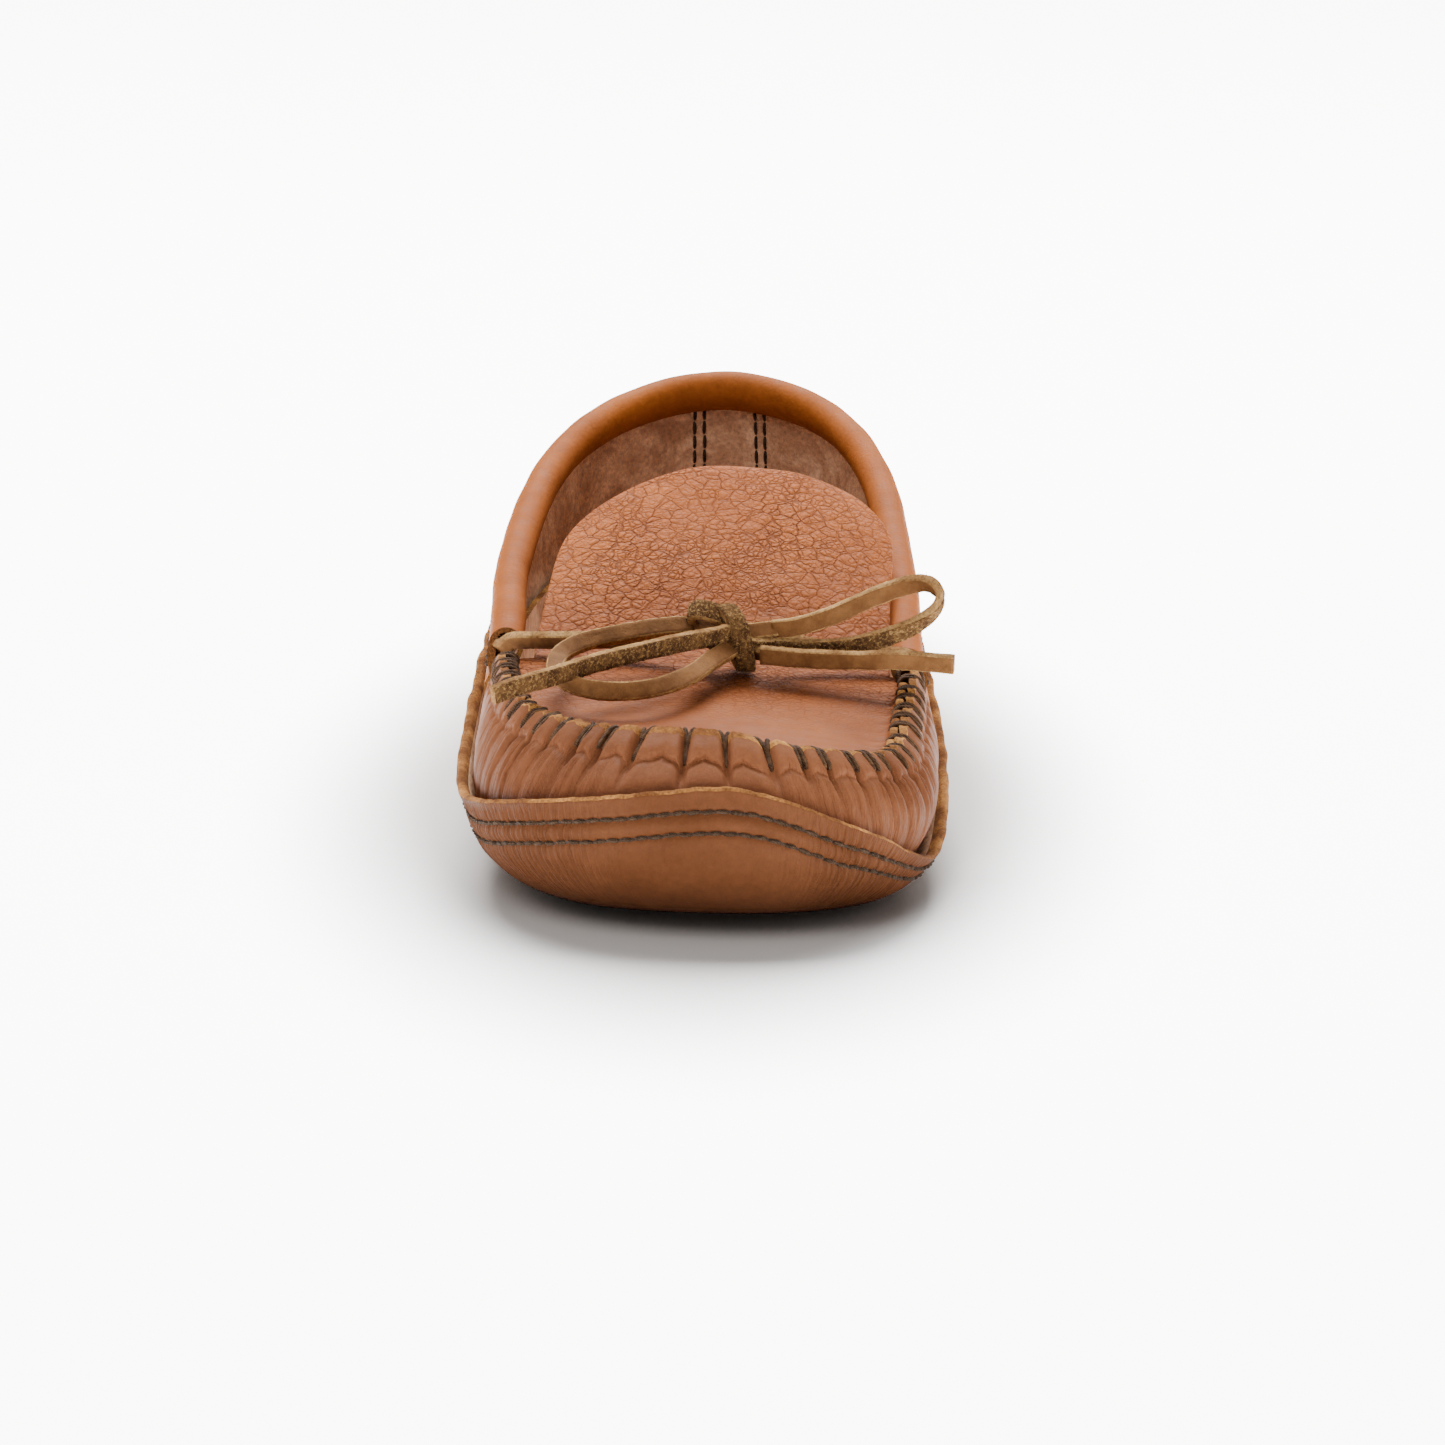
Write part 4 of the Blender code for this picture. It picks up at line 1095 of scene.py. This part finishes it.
def tongue():
    """The tongue, from where the plug ends to its rounded tip, with a cut edge all round."""
    shares = np.linspace(-1, 1, 120)
    near_tip = 0.9 + 0.1 * np.sin(np.linspace(0.05, 1, 26) * math.pi / 2)
    t_rows = np.concatenate([np.linspace(0.02, 0.9, 70), near_tip])
    first = tongue_top(shares, t_rows[0])
    root = []
    for back in np.linspace(PLUG_END, TONGUE_ROOT + 1.5 * MM, 9)[:-1]:
        y = np.full_like(shares, back - LENGTH / 2)
        blend = smooth(back, PLUG_END, TONGUE_ROOT + 3 * MM)
        flat = plug_surface(first[:, 0], y)
        root.append(np.column_stack([first[:, 0], y, flat + (first[:, 2] - flat) * blend**2]))
    rows = np.array(root + [tongue_top(shares, min(t, 0.9992)) for t in t_rows])
    # The underside lies a thickness below. Near the tip, where the rows are short, it follows their middle.
    normal = unit(np.cross(np.gradient(rows, axis=1), np.gradient(rows, axis=0)))
    normal *= np.where(normal[..., 2:] < 0, -1, 1)
    tipward = smooth(np.concatenate([np.zeros(len(root)), t_rows]), 0.80, 0.95)[:, None, None]
    centre_column = len(shares) // 2
    normal += (normal[:, centre_column : centre_column + 1] - normal) * tipward
    normal[-TIP_ROWS:] = normal[-TIP_ROWS - 1]
    under = rows - normal * LEATHER
    outline, beneath, normals = (edge_loop(grid) for grid in (rows, under, normal))
    outward = outline - np.array([rows[..., 0].mean(), rows[30, 0, 1], 0])
    outward[:, 2] = 0
    outward = unit(outward)
    rim = [outline]
    for down, out in ((0.25, 0.32), (0.9, 0.45), (1.55, 0.32)):
        rim.append(outline - normals * down * MM + outward * out * MM)
    make = Builder()
    make.grid(rows, GRAIN, wrap=False)
    make.grid(under, FLESH, wrap=False)
    make.grid([*rim, beneath], [GRAIN, RAW_EDGE, RAW_EDGE, FLESH], wrap=True)
    piece = make.build("tongue_leather", [PLUG_LEATHER, CUT, LIT_LINING])
    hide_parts("tongue")
    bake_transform(piece)


def edge_loop(rows):
    """The outside of a grid of rows, in order."""
    return np.concatenate([rows[0], rows[1:, -1], rows[-1, ::-1][1:], rows[1:-1, 0][::-1]])


# ---------------------------------------------------------------- seam stitches


def over_seam(outer, inner, off=0.0, low=3.0):
    """A strand from its hole in the vamp over both edges to its hole in the plug.

    outer and inner are the two holes' places along the seam, and low is how far down the vamp it starts.
    """
    rows = ((-1, low, 0.35), (-1, low - 0.7, -0.15), *SEAM_STRAND)
    path = []
    for i, (side, down, proud) in enumerate(rows):
        t = float(smooth(i / (len(rows) - 1), 0.32, 1.0))
        s = Stations([outer * (1 - t) + inner * t + off / PERIMETER])
        share = (side + 1) / 2
        top = s.vamp_top() + rim_rise(s) * (1 - share) + plug_rise(s) * share
        height = top - down * MM
        crest = s.vamp_inset() + s.lean
        if side == -1:
            relief = vamp_relief(s, np.maximum(0, top - height))
            inset = s.wall(height, s.vamp_inset(), VAMP_LOW) - relief + proud * MM
        elif side == 1:
            inset = crest + 2 * LEATHER + GAP - 0.25 * MM + proud * MM
        else:
            inset = crest + LEATHER + side * 2 * MM
        path.append(s.at(inset, height)[0])
    return catmull_rom(np.array(path), closed=False, steps=3)


def seam_stitches():
    """Hand stitches over the two raised edges: in a V at the front, wrapped three times at the sides."""
    rng = random.Random(11)
    make = Builder()

    def strand(outer, inner, off=0.0, low=3.0, radius=SEAM_THREAD_RADIUS):
        outer_at, inner_at = (SEAM.fraction(min(max(k, 0), SEAM.total)) for k in (outer, inner))
        path = over_seam(outer_at, inner_at, off + rng.uniform(-0.12, 0.12) * MM, low)
        make.tube(path, radius * rng.uniform(0.92, 1.1), 7)

    for stitch in range(SEAM.total + 1):
        if SEAM.frontness(SEAM.fraction(stitch)) > 0.5:
            strand(stitch, stitch - 0.34, -0.2 * MM, 3.7)
            strand(stitch, stitch + 0.34, 0.2 * MM, 3.7)
            strand(stitch, stitch, 0.0, 3.2)
        else:
            for off in (-0.85, 0.0, 0.85):
                strand(stitch, stitch, off * MM)
            strand(stitch - 0.04, stitch + 0.55, 0.0, 2.6, SEAM_THREAD_RADIUS * 0.9)
    thread = make.build("seam_thread_piece", [SEAM_THREAD])
    stretches = ("toe", "ball_medial", "ball_lateral", "rear_medial", "rear_lateral")
    stand_in(thread, "waxed_thread", *[f"seam_thread_{stretch}" for stretch in stretches])


# ---------------------------------------------------------------- quarter, collar and heel


def collar_section(s):
    """Rows of the quarter's cut, as (inset, height) at every station, and each row's material slot."""
    roll = COLLAR_ROLL * (1 + 0.06 * wave(s.around / (13 * MM), 0.0, 91.0))
    top = s.collar - COLLAR_ROLL
    shift = s.quarter_wall(top)
    low = s.edge - 9 * MM
    rows = []
    for share in np.linspace(0, 1, 34)[:-1]:
        height = low + (top - low) * share
        ripple = 0.3 * MM * wave(s.around / (20 * MM), height / (12 * MM), 95.0)
        pinch = 0.9 * MM * bump_at(height, s.collar - HEM_DOWN, 1.6 * MM)
        rows.append((s.quarter_wall(height) + pinch - ripple, height))
    for angle in np.linspace(0, math.pi, 17):
        rows.append((shift + COLLAR_ROLL - roll * math.cos(angle), top + roll * math.sin(angle)))
    for inset, down in ROLLED_UNDER:
        rows.append((shift + inset * MM, top - down * MM))
    grain = len(rows) - 2
    for inset, down in ROLL_INSIDE:
        rows.append((shift + inset * MM, top - down * MM))
    for angle in np.linspace(math.pi, 0, 9):
        inset = shift + COLLAR_ROLL - 2.8 * MM * math.cos(angle)
        rows.append((inset, top + 2.8 * MM * math.sin(angle)))
    for share in np.linspace(1, 0, 22)[1:]:
        height = low + (top - low) * share
        ripple = 0.3 * MM * wave(s.around / (17 * MM), height / (11 * MM), 97.0)
        rows.append((s.quarter_wall(height, LEATHER) - ripple, height))
    slots = [GRAIN] * grain + [RAW_EDGE] + [FLESH] * (len(rows) - grain - 2) + [RAW_EDGE]
    return rows, slots


def front_sweep(s, height):
    """How far forward the quarter's front edge comes as it goes down, near its two ends."""
    down = np.clip((s.collar - height) / (22 * MM), 0, 1.2)
    near = 1 - smooth(s.back, COLLAR_START, COLLAR_START + 30 * MM)
    return 9 * MM * down * near


def collar_span():
    """The fractions of the outline between which the collar runs, round the heel."""
    return fraction_at(COLLAR_START, False), 1 + fraction_at(COLLAR_START, True)


def quarter():
    """The quarter, with its collar rolled over at the top."""
    start, end = collar_span()
    count = round(PERIMETER * (end - start) / (1.1 * MM))
    s = Stations(np.linspace(start, end, count))
    rows, slots = collar_section(s)
    grid = np.array([s.at(inset, height) for inset, height in rows])
    for points, (_, height) in zip(grid, rows):
        points[:, 1] -= front_sweep(s, height)
    make = Builder()
    make.grid(np.concatenate([grid, grid[:1]]), slots, wrap=False)
    for column, flip in ((0, False), (-1, True)):
        make.cap(grid[:, column], RAW_EDGE, flip)
    piece = make.build("quarter_leather", [QUARTER_LEATHER, CUT, LIT_LINING])
    stand_in(piece, "grain_leather", "quarter", bends=False)


def heel_span():
    """The heel strip's lowest and highest point."""
    s = Stations([0.0])
    return float(s.edge[0]) + 1.5 * MM, float(s.collar[0]) - 11.5 * MM


def heel_strip():
    """The strip over the heel, crowned between its stitch rows and cut at its edges."""
    low, high = heel_span()
    across = np.linspace(-1, 1, 90)
    s = Stations(across * HEEL_STRIP_HALF / PERIMETER)
    heights = np.linspace(low, high, 70)
    rows = []
    for height in heights:
        share = (height - low) / (high - low)
        raised = GAP + 1.7 * MM * (1 - np.abs(across) ** 40) * (1 - abs(2 * share - 1) ** 60)
        raised += 0.25 * MM * wave(across * 2.2, height / (9 * MM), 55.0)
        for row in HEEL_ROWS.values():
            raised -= 0.5 * MM * bump_at(across * HEEL_STRIP_HALF, row, 0.8 * MM)
        rows.append(s.at(s.quarter_wall(height) - raised, height))
    rows = np.array(rows)
    back = np.array([s.at(s.quarter_wall(height) + 0.2 * MM, height) for height in heights])
    make = Builder()
    make.grid(rows, GRAIN, wrap=False)
    make.grid(back, RAW_EDGE, wrap=False)
    make.grid([edge_loop(rows), edge_loop(back)], RAW_EDGE, wrap=True)
    piece = make.build("heel_strip_leather", [QUARTER_LEATHER, CUT])
    stand_in(piece, "grain_leather", "heel_strip", bends=False)


def dashes(make, point_at, length, seed, radius=THREAD_RADIUS):
    """Separate stitches along a line.

    point_at(distance, rise, shift) gives a place, rise out of the leather and shift across the row.
    """
    rng = random.Random(seed)
    count = max(1, round(length / STITCH_LENGTH))
    rise = thread_rise()
    lift = -0.25 * MM + (radius + 0.2 * MM) * rise
    for i in range(count):
        places = (i + np.linspace(0.08, 0.92, 7)) * length / count
        shift = rng.uniform(-0.1, 0.1) * MM
        path = [point_at(place, raised, shift) for place, raised in zip(places, lift)]
        make.tube(np.array(path), radius * (0.8 + 0.2 * rise), 6)


def heel_stitches():
    """The heel strip's four rows, each seen outside on the strip and inside on the lining."""
    low, high = heel_span()
    length = high - low - 2 * MM
    for k, (name, across) in enumerate(HEEL_ROWS.items()):
        inner = across * 0.95 + (2.2 * MM if across > 0 else 2.6 * MM)

        def outside(place, rise, shift, across=across):
            s = Stations([(across + shift) / PERIMETER])
            height = low + 1 * MM + place
            return s.at(s.quarter_wall(height) - GAP - 1.05 * MM - rise, height)[0]

        def inside(place, rise, shift, across=inner):
            s = Stations([(across + shift) / PERIMETER])
            height = low + 1 * MM + place * 1.12
            return s.at(s.quarter_wall(height, LEATHER) + rise + 0.1 * MM, height)[0]

        make = Builder()
        dashes(make, outside, length, 31 + k)
        dashes(make, inside, length, 41 + k, 0.42 * MM)
        thread = make.build(f"heel_thread_{name}", [SOLE_THREAD])
        stand_in(thread, "waxed_thread", f"heel_stitch_{name}", bends=False)


def hem_stitches():
    """The row that closes the collar's lace channel."""
    start, end = collar_span()
    length = PERIMETER * (end - start) - 8 * MM

    def place_at(place, rise, shift):
        s = Stations([start + (place + 4 * MM) / PERIMETER])
        height = s.collar - HEM_DOWN + shift
        point = s.at(s.quarter_wall(height) - rise, height)[0]
        point[1] -= front_sweep(s, height)[0]
        return point

    make = Builder()
    dashes(make, place_at, length, 51, 0.3 * MM)
    stand_in(make.build("hem_thread", [SOLE_THREAD]), "waxed_thread", "hem_stitch", bends=False)


# ---------------------------------------------------------------- inside


def plate(name, low, thickness, materials, nodes, slot, dish):
    """A soft layer inside the bottom, with a rounded edge."""
    s = whole_loop()
    rows = []
    for inset, height in ((1.0, 0.0), (0.0, 0.25), (0.0, 0.7), (0.5, 0.95), (1.5, 1.0)):
        ripple = 0.2 * MM * wave(s.around / (12 * MM), height, 101.0)
        raised = (dish + ripple) * (height > 0.5)
        rows.append(s.at(s.roll + inset * MM, low + thickness * height + raised))
    below = [toward_spine(s, rows[0], share, low) for share in (0.03, 0.5)]
    above = [
        toward_spine(s, rows[-1], share, low + thickness + dish * share**4)
        for share in (0.93, 0.85, 0.7, 0.5, 0.3, 0.15, 0.03)
    ]
    make = Builder()
    make.grid(below + rows + above, 0, wrap=True)
    make.cap(below[0], flip=True)
    make.cap(above[-1])
    piece = make.build(name, materials)
    stand_in(piece, slot, *[f"{nodes}_{stretch}" for stretch in ("toe", "ball", "rear")])


# ---------------------------------------------------------------- lace

# The CAD part's routes of the lace, in millimetres across, back from the toe and up
LATERAL_LOOP = (
    (-3.5, 86, 52.2), (-10, 84, 52.2), (-18.5, 80, 51.7), (-27.4, 76, 50.5), (-32.2, 69, 49.2),
    (-32.6, 58, 47.7), (-28.1, 51, 46.2), (-20.3, 48, 45.7), (-11.5, 51, 45.8), (-4.0, 60, 46.5),
    (0.5, 71, 47.2),
)
MEDIAL_LOOP = (
    (14.5, 84, 51.8), (19.6, 83, 52.6), (27.6, 85, 54.7), (36.7, 88, 58.2), (44.5, 87, 61.2),
    (49.1, 83, 62.2), (51.3, 81, 59.7), (48.9, 82, 55.2), (42.2, 83, 51.2), (32.1, 82, 48.5),
    (22.0, 82, 47.7), (15.0, 83, 48.0),
)
LATERAL_TAIL = (
    (2.2, 78.5, 51.4), (-3.9, 73, 51.5), (-13.8, 64, 51.2), (-23.7, 57, 50.2), (-33.5, 48, 49.0),
    (-41.1, 43, 47.9), (-46.1, 40, 46.6),
)
MEDIAL_TAIL = (
    (11.8, 79.5, 47.0), (20.8, 77.5, 46.6), (32.0, 76.5, 46.4), (43.2, 76.5, 46.4), (54.4, 75, 45.8),
)
LATERAL_RUN = (
    (-47.4, 110, 42.4), (-46.8, 105, 43.2), (-45.4, 101, 44.4), (-43.5, 98.5, 46.0), (-39, 96, 46.7),
    (-22, 91, 47.8), (-3, 86.5, 48.8),
)
MEDIAL_RUN = (
    (46.0, 110, 38.6), (45.9, 105, 39.3), (45.2, 101, 40.6), (44, 98.5, 42.4), (40, 95.5, 43.6),
    (28, 91, 45.7), (15.5, 86.5, 48.6),
)

LOOP_ROOT = ((3.5, 77, 47.9), (6.0, 82, 48.4))
TAIL_ROOT = ((7.0, 82, 52.2),)
KNOT_CENTRE = (6.0, 85, 49.0)

# The knot's straps: each one's points about the knot's centre, the way its smooth face looks (None for in
# towards the centre), its width and its thickness
KNOT_BAND = (
    (-2.8, 3.2, 6.0), (-2.2, 0.5, 7.2), (-0.9, -2.2, 6.8), (0.6, -4.2, 4.6), (1.8, -5.4, 1.0),
    (2.4, -5.0, -3.0), (2.5, -2.6, -5.4), (2.0, 1.2, -5.6), (0.6, 3.8, -3.2), (-1.6, 4.6, 1.5),
    (-2.7, 4.0, 4.6),
)
KNOT_FOLD = (
    (0.5, 0.8, 3.8), (-2.6, -0.8, 5.6), (-5.6, -1.8, 7.0), (-8.2, -1.0, 7.2), (-9.4, 1.0, 5.8),
    (-7.6, 2.4, 3.6), (-3.5, 2.0, 2.2),
)
KNOT_FOLD_FACES = (
    (0, 0.7, -0.7), (0, 0.7, -0.7), (0, 0.7, -0.7), (0.4, 0.6, -0.7), (1, 0, -0.2), (0.5, -0.6, 0.6),
    (0, -0.7, 0.7),
)
KNOT_ENDS = (
    ((-10.5, 1.2, 3.2), (-5.0, 0.4, 2.6), (0.0, -1.0, 2.0), (5.0, -1.2, 2.4), (9.5, -1.0, 2.9)),
    ((-5.5, -3.4, 0.6), (-1.5, -3.0, 0.2), (2.5, -2.8, -0.4), (6.0, -2.6, -0.8), (9.8, -2.0, -1.0)),
    ((-9.6, 1.4, -0.2), (-4.0, 1.0, -0.6), (1.0, 0.0, -2.2), (5.0, -3.0, -2.2), (8.0, -5.6, -2.1)),
    ((10.5, 1.8, -0.5), (5.0, 2.6, 0.5), (0.0, 2.6, 1.0), (-4.0, 2.2, 1.6)),
)
KNOT_PARTS = (
    (KNOT_BAND, None, 4.2, 1.9),
    (KNOT_FOLD, KNOT_FOLD_FACES, 4.4, 2.2),
    (KNOT_ENDS[0], (0, -0.8, 0.5), 3.6, 1.9),
    (KNOT_ENDS[1], (0, 0.9, 0.4), 3.6, 1.9),
    (KNOT_ENDS[2], (0, -0.85, -0.5), 3.4, 1.8),
    (KNOT_ENDS[3], (0, -0.85, -0.45), 3.4, 1.8),
)


def place(row):
    """A point in the frame, from millimetres across, back from the toe and up."""
    across, back, up = (value * MM for value in row)
    return (across + MIDDLE, back - LENGTH / 2, up)


def route(rows, rolls, spacing=0.8 * MM):
    """A lace's path and the way its smooth face looks.

    Each row has a roll in degrees: 0 turns the smooth face to the front and 180 the suede face. Where the
    lace starts, a roll above 0 turns the smooth face down, so that the lace's upper edge shows.
    """
    rows = np.array([place(row) for row in rows])
    rolls = np.broadcast_to(np.array(rolls, float), (len(rows),))
    fine = evenly(catmull_rom(np.column_stack([rows, rolls]), closed=False), spacing, 8)
    path, roll = fine[:, :3], np.radians(fine[:, 3])[:, None]
    tangents = unit(np.gradient(path, axis=0))
    ahead = unit(FRONT - tangents * (tangents @ np.array(FRONT))[:, None])
    below = np.cross(tangents, ahead)
    below *= -np.sign(below[0, 2])
    return path, ahead * np.cos(roll) + below * np.sin(roll)


def lace_mesh(name, node, path, facing, seed):
    """A length of lace with its fibres, which stands for a node."""
    make = Builder()
    strap(make, path, facing, seed=seed)
    fuzz(make, path, facing, 16000, seed)
    return lace_stand_in(make, name, node)


def lace_stand_in(make, name, node):
    """A finished piece of lace, which stands for a node."""
    piece = make.build(name, [LACE_SUEDE, LACE_SKIN, LACE_EDGE], sharp=0)
    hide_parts(node)
    return piece


def strap(make, path, facing, width=LACE_WIDTH, thickness=LACE_THICKNESS, seed=0):
    """A flat lace: smooth on the face that looks the way of facing, suede behind, cut at its sides."""
    path = np.asarray(path, float)
    tangents = unit(np.gradient(path, axis=0))
    side = unit(np.cross(np.broadcast_to(np.asarray(facing, float), path.shape), tangents))
    over = np.cross(tangents, side)
    ring, marks = strap_section(width, thickness)
    outward = unit(ring)
    rows = []
    for i in range(len(path)):
        swell = 1 + 0.06 * noise.noise((i * 0.17, seed, 0.3))
        rough = [noise.noise((i * 0.9, k * 1.7, seed + 5.0)) for k in range(len(marks))]
        rough = np.where(np.array(marks) == LACE_SMOOTH, 0, rough)
        shape = ring * swell + outward * (0.16 * MM * rough)[:, None]
        rows.append(path[i] + side[i] * shape[:, :1] + over[i] * shape[:, 1:])
    make.grid(rows, [marks], wrap=True)
    make.cap(rows[0], LACE_CUT, flip=True)
    make.cap(rows[-1], LACE_CUT)


def fuzz(make, path, facing, per_metre, seed, reach=0.55 * MM):
    """Short loose fibres, each a thin closed spike, on the lace's suede face and its cut edges."""
    rng = random.Random(seed)
    facing = np.broadcast_to(np.asarray(facing, float), path.shape)
    for _ in range(int(lengths(path).sum() * per_metre)):
        i = rng.randrange(len(path) - 1)
        along = path[i + 1] - path[i]
        spot = path[i] + along * rng.random()
        over = unit(facing[i])
        side = unit(np.cross(over, along))
        if rng.random() < 0.6:
            out = -over
            root = spot + side * rng.uniform(-0.5, 0.5) * LACE_WIDTH - over * LACE_THICKNESS * 0.45
        else:
            out = side * rng.choice((-1, 1))
            root = spot + out * LACE_WIDTH * 0.47 + over * rng.uniform(-0.5, 0.3) * LACE_THICKNESS
        lean = np.array([rng.gauss(0, 0.6) for _ in range(3)])
        tip = root + (out + lean) * rng.uniform(0.3, 1.0) * reach
        across = unit(np.cross(out + lean, [0.3, 0.5, 0.8])) * 0.05 * MM
        other = np.cross(out, across) * 0.87
        foot = root - out * 0.12 * MM
        base = [foot + across, foot + other - across / 2, foot - other - across / 2]
        make.add([*base, tip], [(0, 2, 1), (0, 1, 3), (1, 2, 3), (2, 0, 3)], LACE_CUT)


def lace_piece(name, rows, rolls, seed):
    """One of the bow's four free lengths, which lie over the ball."""
    path, facing = route(rows, rolls)
    piece = lace_mesh(f"{name}_strap", name, path, facing, seed)
    bend_at_ball(piece)


def bow():
    """The bow's two loops, which go back into the knot, and its two bare tails."""
    lateral_rolls = [-28, -28, -26, -24, -12, 0, 4, 8, 12, 15, 15, 15, 15]
    lace_piece("lace_loop_lateral", LATERAL_LOOP + LOOP_ROOT, lateral_rolls, 3)
    medial_rolls = [15, 15, 15, 20, 35, 60, 90, 120, 142, 150, 150, 150]
    lace_piece("lace_loop_medial", MEDIAL_LOOP, medial_rolls, 4)
    lace_piece("lace_tail_lateral", TAIL_ROOT + LATERAL_TAIL, -150, 5)
    lace_piece("lace_tail_medial", MEDIAL_TAIL, 25, 6)


def lace_runs():
    """The lace's two runs from the collar's ends to the knot."""
    for name, rows, seed in (("lateral", LATERAL_RUN, 7), ("medial", MEDIAL_RUN, 8)):
        path, facing = route(rows, 46)
        piece = lace_mesh(f"lace_run_{name}_strap", f"lace_run_{name}", path, facing, seed)
        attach(piece, "rear")


def lace_in_collar():
    """The lace's run inside the rolled collar."""
    s = Stations(np.linspace(*collar_span(), 240))
    height = s.collar - COLLAR_ROLL - 0.2 * MM
    path = s.at(s.quarter_wall(height) + COLLAR_ROLL, height)
    make = Builder()
    strap(make, path, (0, 0, 1), 3.2 * MM, 1.8 * MM, seed=9)
    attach(lace_stand_in(make, "lace_in_collar_strap", "lace_in_collar"), "rear")


def knot():
    """The bow's knot: a band wrapped over the front, a fold standing up beside it and the ends inside."""
    make = Builder()
    for i, (rows, facing, width, thickness) in enumerate(KNOT_PARTS):
        rows = np.array([place(np.add(KNOT_CENTRE, row)) for row in rows])
        if facing is None:
            facings = np.array(place(KNOT_CENTRE)) - rows
            facings[:, 0] = 0
        else:
            facings = np.broadcast_to(np.array(facing, float), (len(rows), 3))
        fine = evenly(catmull_rom(np.hstack([rows, facings]), closed=False), 0.6 * MM, 8)
        strap(make, fine[:, :3], fine[:, 3:], width * MM, thickness * MM, seed=20 + i)
        fuzz(make, fine[:, :3], fine[:, 3:], 45000, 30 + i, 0.7 * MM)
    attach(lace_stand_in(make, "lace_knot_strap", "lace_knot"), "rear")


# ---------------------------------------------------------------- stage

CAMERA_ELEVATION = math.radians(12.8)
CAMERA_AZIMUTH = math.radians(0.15)
CAMERA_DISTANCE = 1.7
CAMERA_TARGET = Vector((4.4 * MM, 0.0, 18.8 * MM))
CAMERA_LENS = 184.9


def camera():
    """The camera, from the front and a little above, at the toe."""
    data = bpy.data.cameras.new("camera")
    data.lens = CAMERA_LENS
    data.sensor_width = 36
    data.clip_end = 20
    obj = bpy.data.objects.new("camera", data)
    bpy.context.scene.collection.objects.link(obj)
    level = math.cos(CAMERA_ELEVATION)
    sideways, forward = math.sin(CAMERA_AZIMUTH) * level, -math.cos(CAMERA_AZIMUTH) * level
    away = Vector((sideways, forward, math.sin(CAMERA_ELEVATION)))
    obj.location = CAMERA_TARGET + away * CAMERA_DISTANCE
    obj.rotation_euler = (-away).to_track_quat("-Z", "Y").to_euler()
    bpy.context.scene.camera = obj


def light(name, location, target, size, power):
    """A soft rectangular lamp."""
    data = bpy.data.lights.new(name, "AREA")
    data.shape = "RECTANGLE"
    data.size, data.size_y = size
    data.energy = power
    obj = bpy.data.objects.new(name, data)
    obj.location = location
    obj.rotation_euler = (Vector(target) - Vector(location)).to_track_quat("-Z", "Y").to_euler()
    bpy.context.scene.collection.objects.link(obj)


def studio():
    """Pale paper under the shoe that glows white away from it as painted light, a white world and three
    soft lamps.
    """
    floor = Builder()
    floor.add([(-6, -6, 0), (6, -6, 0), (6, 6, 0), (-6, 6, 0)], [(0, 1, 2, 3)])
    floor.build("floor", [floor_material()], sharp=0)
    world = bpy.data.worlds.new("studio")
    world.use_nodes = True
    background = world.node_tree.nodes["Background"]
    background.inputs["Color"].default_value = (1, 1, 1, 1)
    background.inputs["Strength"].default_value = 0.42
    bpy.context.scene.world = world
    light("top", (-0.05, 0.7, 1.35), (0, 0, 0.03), (1.1, 0.9), 86)
    light("front", (-0.4, -1.0, 1.2), (0, 0, 0.03), (0.9, 0.9), 11)
    light("back", (0.2, 1.2, 0.8), (0, 0.05, 0.06), (1.0, 0.6), 12)


def floor_material():
    """Pale paper with painted light: it glows white away from the shoe, burning out to plain white, and not
    close by, where the lamps' real shadow shows.
    """
    n = Nodes("floor_paper")
    colour = n.mix(n.noise(3.0, 2.0), (0.56, 0.54, 0.52, 1), (0.60, 0.58, 0.56, 1))
    away = n.vectors("LENGTH", n.vectors("MULTIPLY", n.rest, (1.0, 0.42, 1.0)), output="Value")
    # Painted light: the paper's glow, 0 close to the shoe and 8.5 from about 11 cm away across, further
    # ahead and behind.
    painted_glow = n.between(away, 0.060, 0.112, 0.0, 8.5)
    white = (1, 1, 1, 1)
    return n.finish(Base_Color=colour, Roughness=0.9, Emission_Color=white, Emission_Strength=painted_glow)


camera()
studio()
outer_sole()
sole_stitches()
vamp()
plug()
tongue()
seam_stitches()
quarter()
heel_strip()
heel_stitches()
hem_stitches()
plate("padding", PAD_LOW, FOAM, [FELT], "sole_pad", "foam", 0.0)
plate("footbed_layer", FOOTBED_LOW, FOAM, [FOOTBED_SUEDE], "footbed", "suede", 0.8 * MM)
bow()
lace_runs()
lace_in_collar()
knot()
